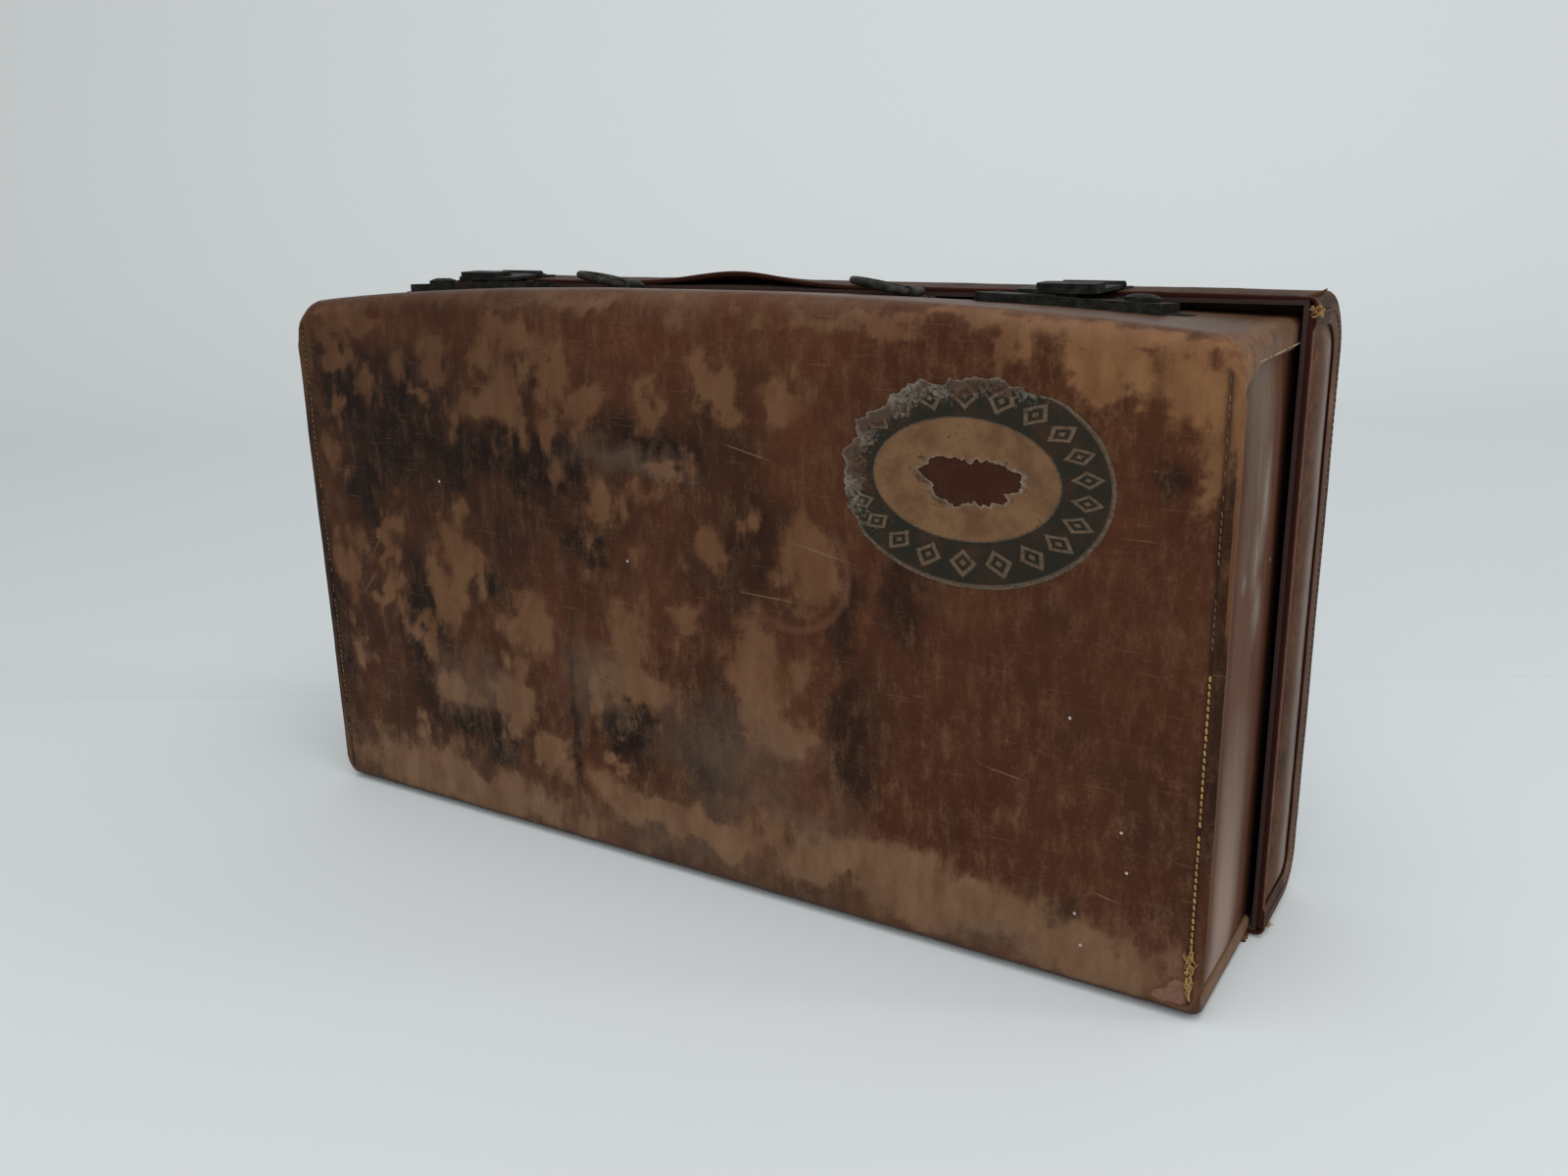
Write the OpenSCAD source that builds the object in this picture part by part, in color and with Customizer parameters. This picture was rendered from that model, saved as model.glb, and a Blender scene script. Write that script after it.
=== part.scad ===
/* [Base] */
// Length of the base, over its leather
base_len = 640; // [560:5:760]
// Depth of the closed case, front to back
case_depth = 176; // [150:2:220]
// Height of the base at its ends
base_h = 353; // [300:1:420]
// Depth of the base that shows in front of the lid
base_show = 102; // [80:1:130]
// Length of base wall that runs on inside the lid
base_overlap = 28; // [14:1:40]
// How far the top wall rises at mid length, along the front edge
front_rise = 15; // [4:0.5:18]
// The same rise half way between front edge and lid
mid_rise = 10; // [3:0.5:14]
// The same rise where the lid begins
rim_rise = 5.5; // [1:0.5:6]
// Radius of the long fold between front and top
top_fold_r = 11; // [6:0.5:16]
// Radius of the long fold between front and bottom
bottom_fold_r = 8; // [5:0.5:12]
// Radius of the front panel's top corners, seen from the front
corner_r = 18; // [12:0.5:26]
// Radius of the front panel's bottom corners
foot_corner_r = 10; // [7:0.5:14]
// Radius at which the bottom leather rolls up the end wall
foot_roll_r = 4; // [3.5:0.5:7]
// Width of the bottom leather turned up the end wall
foot_tab = 7; // [5:0.5:12]
// Radius at which the top leather rolls over the end wall
end_roll_r = 6; // [4:0.5:8]
// Depth of the leather folded down over the end wall
end_tab = 15; // [14:0.5:30]

/* [Lid] */
// How far the lid stands out beyond each end of the base
lid_over_end = 10; // [9.5:0.5:14]
// Height of the lid's top edge above the base's ends
lid_over_top = 12; // [12:0.5:18]
// Radius of the lid's long top edge at the back
lid_edge_r = 40; // [24:1:46]
// Radius of the lid's long bottom edge at the back
lid_foot_r = 26; // [18:1:30]
// Radius at which the lid's leather rolls over its ends
lid_roll_r = 5; // [3.5:0.5:7]
// Width of the leather turned onto the lid's ends
lid_tab = 12; // [8:1:16]
// Height of the wave in the lid's worn top edge
wave_h = 7; // [0:0.5:10]
// Place of the wave's crest along the lid
wave_x = -20; // [-60:5:60]
// Width of the wave
wave_w = 45; // [30:1:60]

/* [Leather and board] */
// Thickness of the big leather panels
hide_t = 2.5; // [1.8:0.1:3]
// Thickness of the end wall leather
end_hide_t = 2.2; // [1.5:0.1:2.6]
// Thickness of the hinge leather under the case
hinge_t = 2; // [1.5:0.1:3]
// Width of hinge leather under the lid
hinge_lid_w = 48; // [30:1:56]
// Thickness of the base's boards
board_t = 2.8; // [2:0.1:3.5]
// Thickness of the lid's boards
lid_board_t = 1.6; // [1.2:0.1:2]
// Thickness of the lining
lining_t = 0.8; // [0.5:0.1:1.2]
// Width of the end wall's flange behind the front panel
flange_w = 14; // [8:1:20]

/* [Locks] */
// Distance of each lock's centre from the end of the base
lock_inset = 107; // [85:1:130]
// Distance of the locks behind the front face
lock_back = 72; // [60:1:76]
// Length of a lock case
lock_len = 106; // [90:1:116]
// Width of a lock case
lock_w = 42; // [34:1:46]
// Height of a lock case above its bed
lock_h = 6; // [5:0.1:7]
// Depth to which a lock is bedded in the leather
lock_bed = 1; // [0.7:0.1:1.2]
// Wall of a lock case
lock_wall = 1.4; // [1:0.1:1.8]
// Travel of the lock's sliding knob
knob_travel = 6; // [4:0.5:7]
// Diameter of the knob
knob_d = 19; // [14:0.5:20]
// Height of the knob's head
knob_h = 4.2; // [3:0.1:6]

/* [Hasps] */
// Width of a hasp
hasp_w = 35; // [26:1:40]
// Thickness of a hasp's leaf
hasp_t = 2; // [1.5:0.1:2.4]
// Height of the raised block on a hasp
hasp_block_h = 3; // [2:0.1:4]
// Depth of the raised block, front to back
hasp_block_l = 18; // [12:1:24]
// Distance from the hasp's pin to its front edge
hasp_reach = 47; // [40:1:52]
// Distance of the hasp's pin behind the lid's edge
pin_back = 8; // [7:0.5:12]
// Radius of the hasp's pin
pin_r = 1.2; // [0.9:0.1:1.4]

/* [Handle rings] */
// Distance between the two handle rings
ring_pitch = 204; // [160:2:240]
// Offset of the pair of rings from mid length
ring_offset = 11; // [-20:1:20]
// Distance of the ring pivots behind the front face
ring_back = 81.5; // [76:0.5:82]
// Reach of a ring, outside its wire
ring_reach = 42; // [34:1:48]
// Breadth of a ring, outside its wire
ring_breadth = 36; // [32:1:42]
// Radius of the ring's wire
wire_r = 2.25; // [1.8:0.05:2.5]
// Angle at which a ring lies, above level
ring_rest = 10; // [10:1:20]

/* [Hidden] */

// Gap between layers that are glued together
glue = 0.1;
// Gap between rolled leather and the layers that end inside it
roll_gap = 1.3;
// Gap under leather that bends over a board
bend_gap = 0.3;
// Gap between parts that move past each other
run = 0.3;
// Radial clearance of a pin in its bore
bore_gap = 0.08;
// Clearance of a rivet's shank in its hole
rivet_gap = 0.1;
rivet_r = 1.5;
rivet_head_r = 2.6;
rivet_head_h = 1.1;
rivet_dome_r = 3.8;

// Main planes, from the middle of the closed case
front_y = -case_depth / 2;
back_y = case_depth / 2;
rim_y = front_y + base_show;
base_rim_y = rim_y + base_overlap;
base_half = base_len / 2;
lid_half = base_half + lid_over_end;
lid_h = base_h + lid_over_top;
wrap_z = hinge_t;
hinge_gap = 0.15;

// Leather layers of the base ends, from outside to inside
end_wall_x = base_half - hide_t - glue;
end_board_x = end_wall_x - end_hide_t - glue;
end_lining_x = end_board_x - board_t - glue;
front_in = front_y + hide_t + glue;
front_lining_y = front_in + board_t + glue;
bottom_in = wrap_z + hide_t + glue;
bottom_lining_z = bottom_in + board_t + glue;

// Layers of the lid
lid_in = hide_t + glue;
lid_lining_in = lid_in + lid_board_t + glue;

lock_x = base_half - lock_inset;
lock_y = front_y + lock_back;
ring_y = front_y + ring_back;
pin_y = rim_y + pin_back;
knuckle_r = 2.4;
pin_z = lid_h + knuckle_r + 0.1;

// Arch of the base's top wall: 1 at mid length, 0 at the ends
function arch(x) = 1 - pow(min(1, abs(x) / base_half), 2.4);

// Rise of the top wall at mid length, for a place between front and rim
function rise(y) = lookup(y - front_y, [
    [0, front_rise], [0.27 * base_show, front_rise - 1], [0.64 * base_show, mid_rise],
    [base_show, rim_rise], [base_show + base_overlap, 0.6 * rim_rise]
]);

function top_z(x, y) = base_h + rise(y) * arch(x);

// Places of the top wall's rows behind the fold, as shares of the depth that shows
top_shares = [0.27, 0.46, 0.64, 0.82, 1];

// Radius of the rolled end, wide at the front corner and tight behind it
function roll_r(y) = lookup(y - front_y, [[10, corner_r], [55, end_roll_r]]);

// Inner height of the rolled top leather over a place on the end layers
function roll_inner_z(x, y) =
    let (r = roll_r(y), inner = r - hide_t, dx = max(0, x - (base_half - r)))
    base_h - r + sqrt(max(0, inner * inner - dx * dx));

// Columns of a leather panel: place along the flat part, roll angle, tab
flat_places = [0.15, 0.32, 0.5, 0.66, 0.82, 0.93, 1];
roll_angles = [22.5, 45, 67.5, 90];
right_columns = concat(
    [for (f = flat_places) [f, 0, 0]], [for (a = roll_angles) [1, a, 0]], [[1, 90, 1]]);
columns = concat(
    [for (i = [len(right_columns) - 1:-1:0]) [-right_columns[i][0],
        -right_columns[i][1], right_columns[i][2]]],
    [[0, 0, 0]], right_columns);

// Rows of the base panel: region, place or angle along the section
// region 0 is the bottom wall, 1 the bottom fold, 2 the front, 3 the top fold, 4 the top wall
base_rows = concat(
    [[0, rim_y - hinge_gap], [0, (rim_y + front_y) / 2]],
    [for (a = [90, 60, 30]) [1, a]],
    [[2, 0], [2, 0.5], [2, 1]],
    [for (a = [22.5, 45, 67.5, 90]) [3, a]],
    [for (d = top_shares) [4, front_y + d * base_show]],
    [[4, base_rim_y]]);

function row_angle(row) =
    row[0] == 0 ? -90 : row[0] == 1 ? -row[1] : row[0] == 2 ? 0 : row[0] == 3 ? row[1] : 90;

// Place of a row along the depth of the case
function row_y(row) =
    row[0] == 0 || row[0] == 4 ? row[1] :
    row[0] == 1 ? front_y + bottom_fold_r * (1 - cos(row[1])) :
    row[0] == 2 ? front_y : front_y + top_fold_r * (1 - cos(row[1]));

function row_roll_r(row) =
    row[0] == 0 ? foot_roll_r :
    row[0] == 1 ? foot_corner_r + (foot_roll_r - foot_corner_r) * row[1] / 90 :
    row[0] == 2 ? foot_corner_r + (corner_r - foot_corner_r) * row[1] :
    roll_r(row_y(row));

// One point of the base panel, at a depth under its outer face
function base_point(col, row, depth) =
    let (
        side = sign(col[1] == 0 ? col[0] : col[1]),
        a = abs(col[1]), phi = row_angle(row), r = row_roll_r(row), y = row_y(row),
        x = col[1] == 0 ? col[0] * (base_half - r) : side * (base_half - r + r * sin(a)),
        drop = r * (1 - cos(a)),
        fold_top = top_z(x, front_y + top_fold_r) - top_fold_r
            - corner_r * (1 - cos(a)),
        fold_bottom = wrap_z + bottom_fold_r + (row[0] == 1 ? r : foot_corner_r) * (1 - cos(a)),
        z = row[0] == 0 ? wrap_z + drop :
            row[0] == 1 ? fold_bottom - bottom_fold_r * sin(row[1]) :
            row[0] == 2 ? fold_bottom + (fold_top - fold_bottom) * row[1] :
            row[0] == 3 ? fold_top + top_fold_r * sin(row[1]) : top_z(x, y) - drop,
        tab_len = phi > 0 ? max(2, end_tab - r) : foot_tab,
        tab_out = 0.8,
        tab = col[2] * [side * tab_out * cos(phi), 0, -tab_len * sin(phi)],
        normal = [side * sin(a) * abs(sin(phi)), -cos(phi), cos(a) * sin(phi)]
    )
    [x, y, z] + tab - depth * normal;

wave_depth = 32;

// Wave in the worn top edge of the lid, which dies away behind the edge
function wave(x, y) =
    wave_h * exp(-pow((x - wave_x) / wave_w, 2)) * max(0, 1 - (y - rim_y) / wave_depth);

// Width of the lid's level top wall, in front of its rounded edge
lid_top_w = case_depth - base_show - lid_edge_r;

// Rows of the lid panel: region, place or angle
// region 0 is the bottom wall, 1 the bottom edge, 2 the back, 3 the top edge, 4 the top wall
lid_rows = concat(
    [[0, rim_y + hinge_gap], [0, rim_y + 0.5 * (case_depth - base_show - lid_foot_r)]],
    [for (a = [90:-15:15]) [1, a]],
    [[2, 0], [2, 0.5], [2, 1]],
    [for (a = [15:15:90]) [3, a]],
    [for (share = [0.8, 0.6, 0.4, 0.2, 0]) [4, rim_y + share * lid_top_w]]);

function lid_section(row) =
    let (
        r = row[0] < 2 ? lid_foot_r : lid_edge_r, yc = back_y - r,
        low = wrap_z + lid_foot_r, high = lid_h - lid_edge_r
    )
    row[0] == 0 ? [row[1], wrap_z] :
    row[0] == 1 ? [yc + r * cos(row[1]), low - r * sin(row[1])] :
    row[0] == 2 ? [back_y, low + (high - low) * row[1]] :
    row[0] == 3 ? [yc + r * cos(row[1]), high + r * sin(row[1])] : [row[1], lid_h];

// One point of the lid panel, at a depth under its outer face
function lid_point(col, row, depth) =
    let (
        side = sign(col[1] == 0 ? col[0] : col[1]),
        a = abs(col[1]), phi = row_angle(row), r = lid_roll_r, flat = lid_half - r,
        x = col[1] == 0 ? col[0] * flat : side * (flat + r * sin(a)),
        outward = [0, cos(phi), sin(phi)],
        at = lid_section(row),
        lift = row[0] == 4 ? wave(x, at[0]) : 0,
        normal = cos(a) * outward + [side * sin(a), 0, 0]
    )
    [x, at[0], at[1] + lift] - (r * (1 - cos(a)) + col[2] * lid_tab) * outward
        - depth * normal;

// A closed sheet between two grids of points, outer face first
module sheet(outer, inner, flip = false) {
    ni = len(outer);
    nj = len(outer[0]);
    n = ni * nj;
    function id(i, j, k) = k * n + i * nj + j;
    function quad(a, b, c, d) = [[a, c, b], [a, d, c]];
    faces = concat(
        [for (i = [0:ni - 2], j = [0:nj - 2])
            each quad(id(i, j, 0), id(i + 1, j, 0), id(i + 1, j + 1, 0), id(i, j + 1, 0))],
        [for (i = [0:ni - 2], j = [0:nj - 2])
            each quad(id(i, j, 1), id(i, j + 1, 1), id(i + 1, j + 1, 1), id(i + 1, j, 1))],
        [for (i = [0:ni - 2]) each quad(id(i + 1, 0, 0), id(i, 0, 0), id(i, 0, 1), id(i + 1, 0, 1))],
        [for (i = [0:ni - 2])
            each quad(id(i, nj - 1, 0), id(i + 1, nj - 1, 0), id(i + 1, nj - 1, 1), id(i, nj - 1, 1))],
        [for (j = [0:nj - 2])
            each quad(id(ni - 1, j, 0), id(ni - 1, j, 1), id(ni - 1, j + 1, 1), id(ni - 1, j + 1, 0))],
        [for (j = [0:nj - 2]) each quad(id(0, j, 0), id(0, j + 1, 0), id(0, j + 1, 1), id(0, j, 1))]
    );
    points = concat([for (line = outer) each line], [for (line = inner) each line]);
    polyhedron(points, flip ? [for (f = faces) [f[0], f[2], f[1]]] : faces, convexity = 8);
}

// A sheet that follows the top wall's arch, at a depth under it
arch_places = concat([for (i = [len(flat_places) - 1:-1:0]) -flat_places[i]], [0], flat_places);

module arched_sheet(half, y_front, depth, t) {
    ys = [y_front, front_y + 0.27 * base_show, front_y + 0.64 * base_show, rim_y, base_rim_y];
    upper = [for (f = arch_places) [for (y = ys) [f * half, y, top_z(f * half, y) - depth]]];
    sheet(upper, [for (line = upper) [for (p = line) p - [0, 0, t]]]);
}

// A rectangle with rounded corners
module round_rect(l, w, r) {
    square([l, w - 2 * r], center = true);
    square([l - 2 * r, w], center = true);
    for (x = [-1, 1], y = [-1, 1]) {
        translate([x * (l / 2 - r), y * (w / 2 - r)]) circle(r, $fn = 32);
    }
}

// Stand an outline drawn in depth and height on end, as a plate of thickness t
module end_plate(x_low, t) {
    translate([x_low, 0, 0]) rotate([90, 0, 90]) linear_extrude(t) children();
}

module domed_rivet(length) {
    translate([0, 0, -length]) cylinder(h = length + 0.5, r = rivet_r, $fn = 24);
    intersection() {
        cylinder(h = rivet_head_h, r = rivet_head_r, $fn = 32);
        translate([0, 0, rivet_head_h - rivet_dome_r]) sphere(rivet_dome_r, $fn = 48);
    }
}

// Places of the hardware on the base's top wall
lock_slope = atan((top_z(lock_x - 50, lock_y) - top_z(lock_x + 50, lock_y)) / 100);
lock_lean = atan((top_z(lock_x, lock_y - 20) - top_z(lock_x, lock_y + 20)) / 40);
lock_seat_z = top_z(lock_x, lock_y) - lock_bed;
lock_tab_r = 10;
lock_tab_x = lock_len / 2 + 0.5;
knob_x = 0.34 * lock_len;
lock_hole_x = [-0.42 * lock_len, knob_x - knob_d / 2 - rivet_head_r - 0.8];
ring_xs = [ring_offset - ring_pitch / 2, ring_offset + ring_pitch / 2];
staple_bed = 0.8;
ring_lean = atan((top_z(ring_offset, ring_y - 15) - top_z(ring_offset, ring_y + 15)) / 30);

// Place something on the right or left lock's bed
module on_lock(side) {
    translate([side * lock_x, lock_y, lock_seat_z])
        rotate([-lock_lean, side * lock_slope, 0])
            mirror([side < 0 ? 1 : 0, 0, 0]) children();
}

// Place something on the bed of a handle ring's staple, 0 left and 1 right
module on_staple(i) {
    x = ring_xs[i];
    translate([x, ring_y, top_z(x, ring_y) - staple_bed])
        rotate([-ring_lean, 0, 0]) children();
}

staple_w = 17;
staple_front = 5;
staple_behind = 14;
staple_rivet_x = 9.5;
staple_rivet_y = 5;

module hardware_beds() {
    for (side = [-1, 1]) {
        on_lock(side) translate([0, 0, 5])
            cube([lock_len + 0.4, lock_w + 0.4, 10], center = true);
        on_lock(side) for (x = lock_hole_x) translate([x, 0, -9])
            cylinder(h = 12, r = rivet_r + rivet_gap, $fn = 16);
        on_lock(side) translate([lock_tab_x, 0, 0]) cylinder(h = 10, r = lock_tab_r + 0.4, $fn = 32);
    }
    for (i = [0, 1]) {
        on_staple(i) translate([-staple_front - 0.2, -staple_w / 2 - 0.2, 0])
            cube([staple_front + staple_behind + 0.4, staple_w + 0.4, 6]);
        on_staple(i) for (y = [-1, 1]) translate([staple_rivet_x, y * staple_rivet_y, -9])
            cylinder(h = 12, r = rivet_r + rivet_gap, $fn = 16);
    }
}

module base_wrap() {
    color("saddlebrown") difference() {
        sheet([for (c = columns) [for (r = base_rows) base_point(c, r, 0)]],
            [for (c = columns) [for (r = base_rows) base_point(c, r, hide_t)]]);
        hardware_beds();
    }
}

// Outline of an end layer of the base, under the rolled leather
module end_outline(x, y_from, z_from) {
    ys = concat([front_y + top_fold_r], [for (d = top_shares) front_y + d * base_show], base_rim_y);
    polygon(concat(
        [[base_rim_y, z_from], [y_from + bottom_fold_r, z_from]],
        [[y_from, z_from + bottom_fold_r], [y_from, base_h - corner_r - top_fold_r]],
        [for (y = ys) [y, roll_inner_z(x, y) - roll_gap]]));
}

end_wall_foot = wrap_z + foot_roll_r + roll_gap;

module end_wall(side) {
    color("sienna") mirror([side < 0 ? 1 : 0, 0, 0]) {
        end_plate(end_wall_x - end_hide_t, end_hide_t)
            end_outline(end_wall_x, front_in, end_wall_foot);
        low = end_wall_foot + bottom_fold_r;
        translate([end_wall_x - flange_w, front_in, low])
            cube([flange_w, end_hide_t, base_h - corner_r - top_fold_r - low]);
    }
}

front_board_half = end_wall_x - flange_w - run;

module front_board() {
    z0 = wrap_z + bottom_fold_r;
    color("tan") translate([-front_board_half, front_in, z0])
        cube([2 * front_board_half, board_t, base_h - top_fold_r - z0]);
}

top_board_half = base_half - corner_r;

module top_board() {
    color("tan") difference() {
        arched_sheet(top_board_half, front_y + top_fold_r, hide_t + bend_gap, board_t);
        for (side = [-1, 1]) on_lock(side) for (x = lock_hole_x) translate([x, 0, -9])
            cylinder(h = 12, r = rivet_r + rivet_gap, $fn = 16);
        for (i = [0, 1]) on_staple(i) for (y = [-1, 1])
            translate([staple_rivet_x, y * staple_rivet_y, -9])
                cylinder(h = 12, r = rivet_r + rivet_gap, $fn = 16);
    }
}

bottom_board_half = base_half - foot_roll_r - hide_t;

module bottom_board() {
    y0 = front_y + bottom_fold_r;
    color("tan") translate([-bottom_board_half, y0, bottom_in])
        cube([2 * bottom_board_half, rim_y - hinge_gap - y0, board_t]);
}

end_board_foot = bottom_in + board_t + roll_gap;

module end_board(side) {
    color("tan") mirror([side < 0 ? 1 : 0, 0, 0])
        end_plate(end_board_x - board_t, board_t)
            end_outline(end_board_x, front_in + end_hide_t + glue, end_board_foot);
}

top_lining_depth = hide_t + bend_gap + board_t + glue;

module base_lining() {
    low = bottom_lining_z;
    color("beige") {
        translate([-end_lining_x, front_lining_y, low])
            cube([2 * end_lining_x, lining_t, base_h - corner_r - low]);
        translate([-end_lining_x, front_lining_y, low])
            cube([2 * end_lining_x, rim_y - hinge_gap - front_lining_y, lining_t]);
        for (side = [0, 1]) mirror([side, 0, 0])
            end_plate(end_lining_x - lining_t, lining_t)
                end_outline(end_lining_x, front_lining_y, low);
        arched_sheet(top_board_half, front_y + top_fold_r, top_lining_depth, lining_t);
    }
}

module hinge_leather_base() {
    half = base_half - foot_corner_r;
    y0 = front_y + 12;
    color("brown") translate([-half, y0, 0]) cube([2 * half, rim_y - hinge_gap - y0, hinge_t]);
}

module hinge_leather_lid() {
    half = base_half - foot_corner_r;
    color("brown") translate([-half, rim_y + hinge_gap, 0])
        cube([2 * half, hinge_lid_w - hinge_gap, hinge_t]);
}

// Lock case, drawn on its bed with the knob toward positive x
stem_r = 2.5;
tongue_x = -0.033 * lock_len;
tongue_w = 10;
tongue_t = 5;
tongue_back = 4;
slot_w = tongue_w + 3;

module lock_case_shape() {
    top_l = lock_len - 4;
    top_w = lock_w - 4;
    difference() {
        union() {
            linear_extrude(1.2) {
                round_rect(lock_len, lock_w, 4);
                translate([lock_tab_x, 0]) circle(lock_tab_r, $fn = 48);
            }
            linear_extrude(lock_h) round_rect(top_l, top_w, 4);
        }
        difference() {
            translate([0, 0, -1]) linear_extrude(lock_h - lock_wall + 1)
                round_rect(top_l - 2 * lock_wall, top_w - 2 * lock_wall, 2.5);
            for (x = lock_hole_x) translate([x, 0, -1]) cylinder(h = lock_h, r = 3.6, $fn = 32);
        }
        for (x = lock_hole_x) translate([x, 0, -1])
            cylinder(h = lock_h + 2, r = rivet_r + rivet_gap, $fn = 24);
        translate([knob_x, -stem_r - run, 1]) cube([knob_travel, 2 * (stem_r + run), lock_h]);
        for (d = [0, knob_travel]) translate([knob_x + d, 0, 1])
            cylinder(h = lock_h, r = stem_r + run, $fn = 32);
        translate([tongue_x - slot_w / 2, -tongue_back - tongue_t / 2 - 2, 1.2])
            cube([slot_w, lock_w, lock_h]);
    }
}

module lock_case(side) {
    color("dimgray") on_lock(side) lock_case_shape();
}

module lock_rivets(side) {
    color("gray") on_lock(side) for (x = lock_hole_x) translate([x, 0, lock_h])
        domed_rivet(lock_h + hide_t - lock_bed + glue + board_t - 0.8);
}

bolt_z = 1;
bolt_t = 2;

module lock_knob(side) {
    color("black") on_lock(side) translate([knob_x, 0, 0]) {
        translate([0, 0, bolt_z + bolt_t]) cylinder(h = lock_h - bolt_z - bolt_t + 1, r = stem_r, $fn = 32);
        translate([0, 0, lock_h + run]) difference() {
            intersection() {
                cylinder(h = knob_h, r = knob_d / 2, $fn = 48);
                translate([0, 0, knob_h - 20]) sphere(20, $fn = 96);
            }
            translate([0, 0, knob_h - 0.6]) cylinder(h = 1, r = knob_d / 4, $fn = 48);
        }
    }
}

// Bolt under the knob; its nose stops beside the hasp's tongue
module latch_bolt(side) {
    nose = tongue_x + slot_w / 2 + 1.2;
    end = knob_x + stem_r + 2;
    half = 4.5;
    color("silver") on_lock(side) difference() {
        translate([nose, -half - tongue_back, bolt_z])
            cube([end - nose, 2 * half + tongue_back, bolt_t]);
        hull() for (d = [-knob_travel, 0]) translate([lock_hole_x[1] + d, 0, 0])
            cylinder(h = 5, r = 3.6 + run, $fn = 32);
    }
}

// Staple that holds a ring: bored barrel on a riveted plate
bore_r = wire_r + bore_gap;
barrel_r = bore_r + 1.3;

module ring_staple(i) {
    color("dimgray") on_staple(i) difference() {
        union() {
            translate([-staple_front, -staple_w / 2, 0])
                cube([staple_front + staple_behind, staple_w, 1.2]);
            translate([0, staple_w / 2, barrel_r]) rotate([90, 0, 0])
                cylinder(h = staple_w, r = barrel_r, $fn = 48);
        }
        translate([0, staple_w / 2 + 1, barrel_r]) rotate([90, 0, 0])
            cylinder(h = staple_w + 2, r = bore_r, $fn = 48);
        for (y = [-1, 1]) translate([staple_rivet_x, y * staple_rivet_y, -1])
            cylinder(h = 4, r = rivet_r + rivet_gap, $fn = 24);
    }
}

module staple_rivets(i) {
    color("gray") on_staple(i) for (y = [-1, 1])
        translate([staple_rivet_x, y * staple_rivet_y, 1.2])
            domed_rivet(1.2 + hide_t - staple_bed + glue + board_t - 0.8);
}

// Ring of round wire, drawn flat: bar along y at x = 0, loop toward negative x
module wire_run(from, to) {
    d = to - from;
    translate([from[0], from[1], 0]) rotate([0, 0, atan2(d[1], d[0])]) rotate([0, 90, 0])
        cylinder(h = norm(d), r = wire_r, $fn = 32);
}

module wire_bend(centre, r, start) {
    translate([centre[0], centre[1], 0]) rotate([0, 0, start])
        rotate_extrude(angle = 90, $fn = 64) translate([r, 0]) circle(wire_r, $fn = 32);
}

module ring_shape() {
    reach = ring_reach - 2 * wire_r;
    half = ring_breadth / 2 - wire_r;
    near_r = 6;
    far_r = half - 1.5;
    wire_run([0, -(half - near_r)], [0, half - near_r]);
    wire_run([-reach, -(half - far_r)], [-reach, half - far_r]);
    for (side = [0, 1]) mirror([0, side, 0]) {
        wire_run([-near_r, half], [-(reach - far_r), half]);
        wire_bend([-near_r, half - near_r], near_r, 0);
        wire_bend([-(reach - far_r), half - far_r], far_r, 90);
    }
}

module handle_ring(i) {
    color("darkgray") on_staple(i) translate([0, 0, barrel_r]) rotate([0, ring_rest, 0]) ring_shape();
}

module lid_wrap() {
    color("sienna") sheet(
        [for (c = columns) [for (r = lid_rows) lid_point(c, r, 0)]],
        [for (c = columns) [for (r = lid_rows) lid_point(c, r, hide_t)]], flip = true);
}

// The layers inside round the long edges a little wider than the leather
lid_edge_ease = 2.4;

// Closed section of the lid at a depth under its leather's outer face
module lid_block(depth, extra) {
    y0 = rim_y + hinge_gap - extra;
    y1 = back_y - depth;
    z0 = wrap_z + depth;
    z1 = lid_h - depth;
    low = lid_foot_r - depth + lid_edge_ease;
    high = lid_edge_r - depth + lid_edge_ease;
    intersection() {
        translate([y0, z0]) square([y1 - y0, z1 - z0]);
        union() {
            translate([y0, z0 + low]) square([y1 - y0, z1 - z0 - low - high]);
            translate([y0, z0]) square([y1 - low - y0, z1 - z0 - high]);
            translate([y0, z0 + low]) square([y1 - high - y0, z1 - z0 - low]);
            translate([y1 - low, z0 + low]) circle(low, $fn = 64);
            translate([y1 - high, z1 - high]) circle(high, $fn = 64);
        }
    }
}

// A moulded layer of the lid: a trough that is open at the rim
module lid_layer(depth, t, half) {
    end_plate(-half, 2 * half) difference() {
        lid_block(depth, 0);
        lid_block(depth + t, 1);
    }
}

lid_end_x = lid_half - hide_t - glue;
lid_end_board_x = lid_end_x - end_hide_t - glue;

// Plan of the lid's end leather: a flat layer, and the bead behind the rim
bead_h = 1.8;
bead_from = 12;
bead_behind = 26;
bead_w = case_depth - base_show - bead_from - bead_behind;
groove_r = 1.2;

module lid_bead_plan() {
    x = lid_end_x;
    middle = rim_y + bead_from + bead_w / 2;
    polygon(concat([[x - 0.5, middle + bead_w / 2], [x - 0.5, middle - bead_w / 2]],
        [for (a = [0:15:180]) [x + bead_h * pow(sin(a), 1.5), middle - bead_w / 2 * cos(a)]]));
}

// How far the bead ends from the lid's top or bottom, inside the turned leather round that edge
function bead_inset(r) =
    r - sqrt(pow(max(0, r - lid_roll_r - lid_tab - 1), 2) - pow(max(0, r - bead_behind), 2));

module lid_end(side) {
    low = wrap_z + bead_inset(lid_foot_r);
    high = lid_h - bead_inset(lid_edge_r);
    color("sienna") mirror([side < 0 ? 1 : 0, 0, 0]) {
        difference() {
            end_plate(lid_end_x - end_hide_t, end_hide_t) lid_block(lid_roll_r + glue, 0);
            translate([lid_end_x + 0.3, rim_y + 0.6 * bead_from, low])
                cylinder(h = high - low, r = groove_r, $fn = 24);
        }
        translate([0, 0, low]) linear_extrude(high - low) lid_bead_plan();
    }
}

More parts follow.
